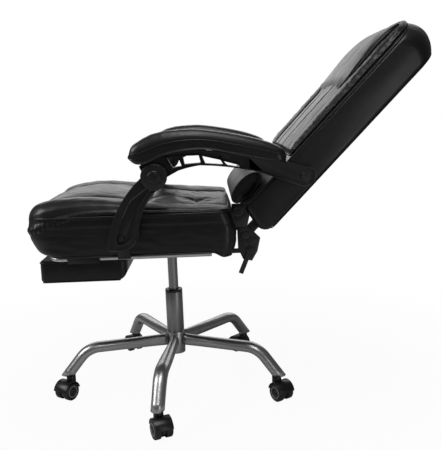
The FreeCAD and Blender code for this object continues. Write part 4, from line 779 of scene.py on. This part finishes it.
ARM_TOP = ((-0.073, 0.700), (-0.066, 0.722), (-0.050, 0.735), (-0.020, 0.750), (0.010, 0.7575),
           (0.045, 0.7605), (0.090, 0.7605), (0.150, 0.752), (0.220, 0.737), (0.270, 0.721),
           (0.295, 0.708), (0.303, 0.697))
ARM_FOOT = ((-0.073, 0.698), (-0.055, 0.6845), (-0.030, 0.6835), (0.000, 0.697),
            (0.040, 0.7075), (0.080, 0.7120), (0.120, 0.7110), (0.170, 0.7005),
            (0.220, 0.6890), (0.303, 0.6735))
ARM_PLEATED = ((-0.07, 0.6), (-0.03, 1.0), (0.04, 1.0), (0.09, 0.3), (0.303, 0.25))
ARM_MIDDLE = 0.276
ARM_HALF = 0.034
ARM_LIFT = 0.0006
ARM_FRONT_CORNER, ARM_REAR_CORNER = 0.030, 0.024
ARM_WELT = 1.5 * MM


def arm_pad_point(side, a, b, c):
    t = (c + 1) / 2
    front, rear = ARM_TOP[0][0], ARM_TOP[-1][0]
    y = mix(front, rear, crowded(b, 0.6))
    top, foot = along(ARM_TOP, y), along(ARM_FOOT, y) + ARM_LIFT
    reach = ARM_HALF - rounded_end(y - front, ARM_FRONT_CORNER) * 0.85
    reach -= rounded_end(rear - y, ARM_REAR_CORNER) * 0.8
    s = abs(a)
    edge = mix(foot, top, 0.62)
    upper = mix(edge, top, math.sqrt(max(0.0, 1 - s ** 2.6)))
    z = mix(foot, upper, t)
    x = a * reach
    if s > 0.999:
        swell = 0.0012 * math.sin(math.pi * t) - 0.003 * (1 - smooth(0, 0.3, t))
        x += math.copysign(swell, a)
    pleats = ripple(Vector((y * 1.6, a * 0.02, z * 0.25)), 0.012, 5.9) * along(ARM_PLEATED, y)
    x += math.copysign(0.0009 * pleats * smooth(0.8, 1, s), a)
    z += 0.0007 * pleats * t
    return Vector((side * (ARM_MIDDLE + x), y, z))


def make_arm_pads():
    for side, word in SIDES:
        def point(a, b, c, side=side):
            return arm_pad_point(side, a, b, c)

        bm = block((22, 110, 12), point)
        for c in (-0.92, 0.55):
            welt(bm, level_route(point, 45, 8, c), ARM_WELT, closed=True, sides=6)
        piece = upholster(bm, "arm_cushion_" + word, "arm_" + word, "arm_pad_" + word)


# Base legs, each first laid out along +X in its own upright plane

LEG_START = 0.0255
LEG_LEVEL = 0.140
LEG_BEND_FROM = 0.225
LEG_BEND_RADIUS = 0.070
LEG_BEND = math.radians(50)
LEG_TIP = 0.068
LEG_SIDES = 40
LEG_WALL = 1.6 * MM
# Half sizes by distance from the column
LEG_WIDE = ((0.026, 0.0120), (0.070, 0.0140), (0.150, 0.0175), (0.225, 0.0190), (0.300, 0.0180))
LEG_DEEP = ((0.026, 0.0175), (0.070, 0.0165), (0.150, 0.0158), (0.300, 0.0155))


def leg_stations():
    """Distances, heights and downward angles along one leg."""
    level = [(mix(LEG_START, LEG_BEND_FROM, k / 14), LEG_LEVEL, 0.0) for k in range(15)]
    bend = []
    for k in range(1, 13):
        angle = LEG_BEND * k / 12
        bend.append((LEG_BEND_FROM + LEG_BEND_RADIUS * math.sin(angle),
                     LEG_LEVEL - LEG_BEND_RADIUS * (1 - math.cos(angle)), angle))
    r, z, angle = bend[-1]
    length = (z - LEG_TIP) / math.sin(LEG_BEND)
    steps = [length * k / 6 for k in range(1, 7)]
    drop = [(r + step * math.cos(LEG_BEND), z - step * math.sin(LEG_BEND), angle)
            for step in steps]
    return level + bend + drop


def make_legs():
    """Five bent oval tubes, cut level at their tips."""
    slope = math.tan(LEG_BEND)
    for number in CASTERS:
        name = "base_leg_%d" % number
        tip = JOINTS["caster_%d_swivel" % number]["pos_m"]
        turn = math.atan2(tip[1], tip[0])
        bm = bmesh.new()
        rings = []
        for r, z, angle in leg_stations():
            wide, deep = along(LEG_WIDE, r), along(LEG_DEEP, r)
            ring = bmesh.ops.create_circle(bm, segments=LEG_SIDES, radius=1.0)["verts"]
            for vert in ring:
                side, up = vert.co.x * wide, vert.co.y * deep
                flat_r, flat_z = r + up * math.sin(angle), z + up * math.cos(angle)
                if r + z > LEG_BEND_FROM and z < LEG_TIP + 0.03:
                    drop = max(0.0, LEG_TIP - flat_z)
                    flat_r -= drop / slope
                    flat_z += drop
                vert.co = Vector((flat_r, side, flat_z))
            rings.append(ring)
        for vert in rings[-1]:
            rise = vert.co.z - LEG_TIP
            vert.co.z = LEG_TIP
            vert.co.x += rise / slope
        bridge_rings(bm, zip(rings, rings[1:]))
        bmesh.ops.rotate(bm, verts=bm.verts, cent=Vector(),
                         matrix=Matrix.Rotation(turn, 3, "Z"))
        piece = link_piece(name + "_shown", finish_mesh(bm, name), "chromed_steel", "base",
                           nodes=[name])
        wall = piece.modifiers.new("wall", "SOLIDIFY")
        wall.thickness = LEG_WALL
        wall.offset = -1


# Hard pieces kept from the frame, with rounded edges: node and rounding in millimetres

EASED = {
    "arm_knob_left": 1.4, "arm_knob_right": 1.4, "control_housing": 0.8,
    "footrest_guides": 1.0, "recliner_seat_plates": 0.6, "recliner_back_plates": 0.6,
    "recline_lever": 0.8, "arm_brackets": 0.6, "lift_lever_grip": 2.5, "seat_bolts": 0.4,
    "recliner_pins": 0.6, "gas_lift_guide_bush": 1.0, "gas_lift_outer_tube": 0.8,
    "base_hub": 0.8,
}
HOOD_ROUNDING, WHEEL_ROUNDING = 1.0, 0.6
SAME_POINT = 0.005 * MM
FLAT_ANGLE, SHARP_ANGLE = math.radians(0.6), math.radians(32)
# Rim width, rim height and rounding
FRAME_RIM = (3.2 * MM, 3.4 * MM, 0.5 * MM)
STRUT_RIM = (3.0 * MM, 2.6 * MM, 0.8 * MM)
RIM_SLOPE = 0.5 * MM


def frame_mesh(node):
    """A bmesh of a CAD node with its points joined up."""
    bm = bmesh.new()
    bm.from_mesh(frame["nodes"][node].data)
    bmesh.ops.remove_doubles(bm, verts=bm.verts, dist=SAME_POINT)
    return bm


def rounded_copy(node, bm, width, segments):
    """Shows a reworked CAD node with its sharp edges rounded; returns the rounding."""
    mesh = bpy.data.meshes.new(node + "_eased")
    bm.to_mesh(mesh)
    bm.free()
    mesh.shade_smooth()
    piece = link_piece(node + "_shown", mesh, SLOT_OF[node], BODY_OF[node], nodes=[node])
    bevel = piece.modifiers.new("rounding", "BEVEL")
    bevel.width = width
    bevel.segments = segments
    bevel.limit_method = "ANGLE"
    bevel.angle_limit = SHARP_ANGLE
    bevel.harden_normals = True
    return bevel


def eased_copy(node, width):
    """A copy of a hard CAD piece with its edges rounded."""
    bm = frame_mesh(node)
    bmesh.ops.dissolve_limit(bm, angle_limit=FLAT_ANGLE, verts=bm.verts, edges=bm.edges)
    rounded_copy(node, bm, width, 2)


def rimmed_copy(node, side, rim_width, rim_height, rounding):
    """An eased copy whose outer face is sunk inside a raised rim."""
    bm = frame_mesh(node)
    outermost = max(side * vert.co.x for vert in bm.verts)
    outer = [face for face in bm.faces if side * face.normal.x > 0.99
             and side * face.calc_center_median().x > outermost - 0.1 * MM]
    for width in (rim_width, RIM_SLOPE):
        bmesh.ops.inset_region(bm, faces=outer, thickness=width, use_even_offset=True,
                               use_boundary=True)
    sunk = {vert for face in outer for vert in face.verts}
    bmesh.ops.translate(bm, verts=list(sunk), vec=Vector((-side * rim_height, 0, 0)))
    bmesh.ops.dissolve_limit(bm, angle_limit=FLAT_ANGLE, verts=bm.verts, edges=bm.edges)
    bmesh.ops.remove_doubles(bm, verts=bm.verts, dist=0.4 * MM)
    bevel = rounded_copy(node, bm, rounding, 3)
    bevel.use_clamp_overlap = False


def dress_nodes():
    """Gives every CAD piece that shows as it is the finish of its slot."""
    for node, piece in frame["nodes"].items():
        piece.data.materials.clear()
        piece.data.materials.append(FINISHES[SLOT_OF[node]])
    for node, rounding in EASED.items():
        eased_copy(node, rounding * MM)
    for side, word in SIDES:
        rimmed_copy("arm_frame_" + word, side, *FRAME_RIM)
        rimmed_copy("arm_strut_" + word, side, *STRUT_RIM)
    for number in CASTERS:
        eased_copy("caster_hood_%d" % number, HOOD_ROUNDING * MM)
        eased_copy("caster_wheels_%d" % number, WHEEL_ROUNDING * MM)


# Caster trims: radius, and height over the wheel's outer face, in millimetres

RING_PROFILE = ((17.6, -2.6), (17.6, -0.9), (16.8, -0.4), (14.6, -0.4), (13.8, -0.9),
                (13.8, -2.6))
CAP_PROFILE = ((7.4, -2.6), (7.0, -0.7), (5.0, 0.3), (2.4, 0.7), (0.0, 0.8))
TRIM_STEPS = 40


def turned_trim(profile, centre, axis, outside):
    """The same turned profile on both outer faces of a wheel."""
    bm = bmesh.new()
    for way in (1, -1):
        turn = (axis * way).to_track_quat("Z", "Y").to_matrix().to_4x4()
        line = [bm.verts.new((radius * MM, 0, outside + height * MM))
                for radius, height in profile]
        edges = [bm.edges.new(pair) for pair in zip(line, line[1:])]
        bmesh.ops.spin(bm, geom=line + edges, cent=Vector(), axis=Vector((0, 0, 1)),
                       dvec=Vector(), angle=2 * math.pi, steps=TRIM_STEPS, use_merge=True)
        fresh = [vert for vert in bm.verts if not vert.tag]
        bmesh.ops.transform(bm, matrix=Matrix.Translation(centre) @ turn, verts=fresh)
        for vert in fresh:
            vert.tag = True
    bmesh.ops.remove_doubles(bm, verts=bm.verts, dist=0.01 * MM)
    return bm


def make_caster_trims():
    """The ring, coloured pale grey as a painted highlight on the hub, and the cap on the outer faces of every
    caster wheel.
    """
    for number in CASTERS:
        joint = JOINTS["caster_%d_roll" % number]
        centre, axis = Vector(joint["pos_m"]), Vector(joint["axis"]).normalized()
        wheels = frame["nodes"]["caster_wheels_%d" % number].data
        outside = max((vert.co - centre).dot(axis) for vert in wheels.vertices)
        # The ring's pale grey finish is a painted highlight on the hub; the cap keeps the caster's own black.
        for word, profile, finish in (("ring", RING_PROFILE, HUB_PAINTED_HIGHLIGHT),
                                      ("cap", CAP_PROFILE, None)):
            label = "caster_%s_%d" % (word, number)
            mesh = finish_mesh(turned_trim(profile, centre, axis, outside), label)
            link_piece(label, mesh, "caster_plastic", "caster_%d_wheels" % number, finish)


# Studio

FLOOR_COLOUR = (0.50, 0.50, 0.50)
FLOOR_HALF = 6
FLOOR_WHITE = 0.955
FADE_FROM, FADE_TO = 0.45, 1.5
WORLD_LIGHT = 0.10
WHITE = (1, 1, 1, 1)
LAMPS = (
    # name, place, what it faces, width and height, watts
    ("far", (-2.3, 0.1, 1.35), (0.0, 0.1, 0.6), (3.2, 1.2), 16),
    ("front", (0.5, -2.0, 1.9), (0.1, -0.1, 0.6), (0.9, 1.3), 30),
    ("top", (0.4, 0.2, 2.6), (0, 0.1, 0.5), (1.0, 1.8), 19),
    ("side", (1.5, 0.0, 2.7), (0.2, 0.0, 0.6), (0.4, 1.4), 15),
    ("low", (1.9, 1.2, 0.5), (0, 0.1, 0.3), (0.4, 1.0), 3.5),
)
CAMERA_AT = Vector((1.8, 0.1231, 0.7952))
CAMERA_YAW = math.radians(0.678)
CAMERA_PITCH = math.radians(10.0375)
CAMERA_ROLL = math.radians(2.1395)
FOCAL_PIXELS = 632.07
IMAGE_LONG_SIDE = 450
SENSOR = 36.0


def make_camera():
    level = math.cos(CAMERA_PITCH)
    forward = Vector((-math.cos(CAMERA_YAW) * level, math.sin(CAMERA_YAW) * level,
                      -math.sin(CAMERA_PITCH)))
    right = forward.cross(Vector((0, 0, 1))).normalized()
    up = right.cross(forward)
    tilted_right = right * math.cos(CAMERA_ROLL) - up * math.sin(CAMERA_ROLL)
    tilted_up = right * math.sin(CAMERA_ROLL) + up * math.cos(CAMERA_ROLL)
    lens = bpy.data.cameras.new("camera")
    lens.sensor_fit = "AUTO"
    lens.sensor_width = SENSOR
    lens.lens = FOCAL_PIXELS / IMAGE_LONG_SIDE * SENSOR
    camera = bpy.data.objects.new("camera", lens)
    turn = Matrix((tilted_right, tilted_up, -forward)).transposed().to_4x4()
    camera.matrix_world = Matrix.Translation(CAMERA_AT) @ turn
    bpy.context.scene.collection.objects.link(camera)
    bpy.context.scene.camera = camera


def add_lamp(name, place, target, size, watts):
    lamp = bpy.data.lights.new(name, "AREA")
    lamp.shape = "RECTANGLE"
    lamp.size, lamp.size_y = size
    lamp.energy = watts
    holder = bpy.data.objects.new(name, lamp)
    heading = Vector(target) - Vector(place)
    turn = heading.to_track_quat("-Z", "Y").to_matrix().to_4x4()
    holder.matrix_world = Matrix.Translation(place) @ turn
    holder.visible_camera = False
    bpy.context.scene.collection.objects.link(holder)


def make_world():
    world = bpy.data.worlds.new("studio")
    world.use_nodes = True
    bpy.context.scene.world = world
    tree = world.node_tree
    sky = tree.nodes["Background"]
    camera_ray = add_node(tree, "ShaderNodeLightPath", output="Is Camera Ray")
    through_ray = add_node(tree, "ShaderNodeLightPath", output="Is Transmission Ray")
    seen = camera_ray.maths("MAXIMUM", camera_ray, through_ray)
    sky.inputs["Color"].default_value = WHITE
    strength = seen * (1 - WORLD_LIGHT) + WORLD_LIGHT
    tree.links.new(strength.socket, sky.inputs["Strength"])


def make_floor():
    """A plain floor that looks white from afar and keeps a soft shadow near the chair."""
    bm = bmesh.new()
    bmesh.ops.create_grid(bm, x_segments=2, y_segments=2, size=FLOOR_HALF)
    mesh = bpy.data.meshes.new("floor")
    bm.to_mesh(mesh)
    bm.free()
    floor = bpy.data.objects.new("floor", mesh)
    bpy.context.scene.collection.objects.link(floor)
    finish, tree, place = new_finish("floor_paint", FLOOR_COLOUR, 0.7)
    camera_ray = add_node(tree, "ShaderNodeLightPath", output="Is Camera Ray")
    glow = add_node(tree, "ShaderNodeEmission", None, {"Color": WHITE, "Strength": 1.0})
    apart = add_node(tree, "ShaderNodeVectorMath", {"operation": "LENGTH"}, {0: place},
                     output="Value")
    fade = add_node(tree, "ShaderNodeMapRange", {"interpolation_type": "SMOOTHSTEP"},
                    {"Value": apart, "From Min": FADE_FROM, "From Max": FADE_TO,
                     "To Min": FLOOR_WHITE, "To Max": 1.0})
    paint = Wire(tree, tree.nodes["Principled BSDF"].outputs["BSDF"])
    joined = add_node(tree, "ShaderNodeMixShader", None,
                      {0: camera_ray * fade, 1: paint, 2: glow})
    tree.links.new(joined.socket, tree.nodes["Material Output"].inputs["Surface"])
    mesh.materials.append(finish)


def make_studio():
    bpy.context.scene.view_settings.view_transform = "Standard"
    make_world()
    for lamp in LAMPS:
        add_lamp(*lamp)
    make_floor()


make_camera()
make_studio()
dress_nodes()
make_seat_border()
make_seat_cushion()
make_back_border()
make_back_pillow()
make_head_cushion()
make_lumbar_roll()
make_footrest_cushion()
make_arm_pads()
make_legs()
make_caster_trims()
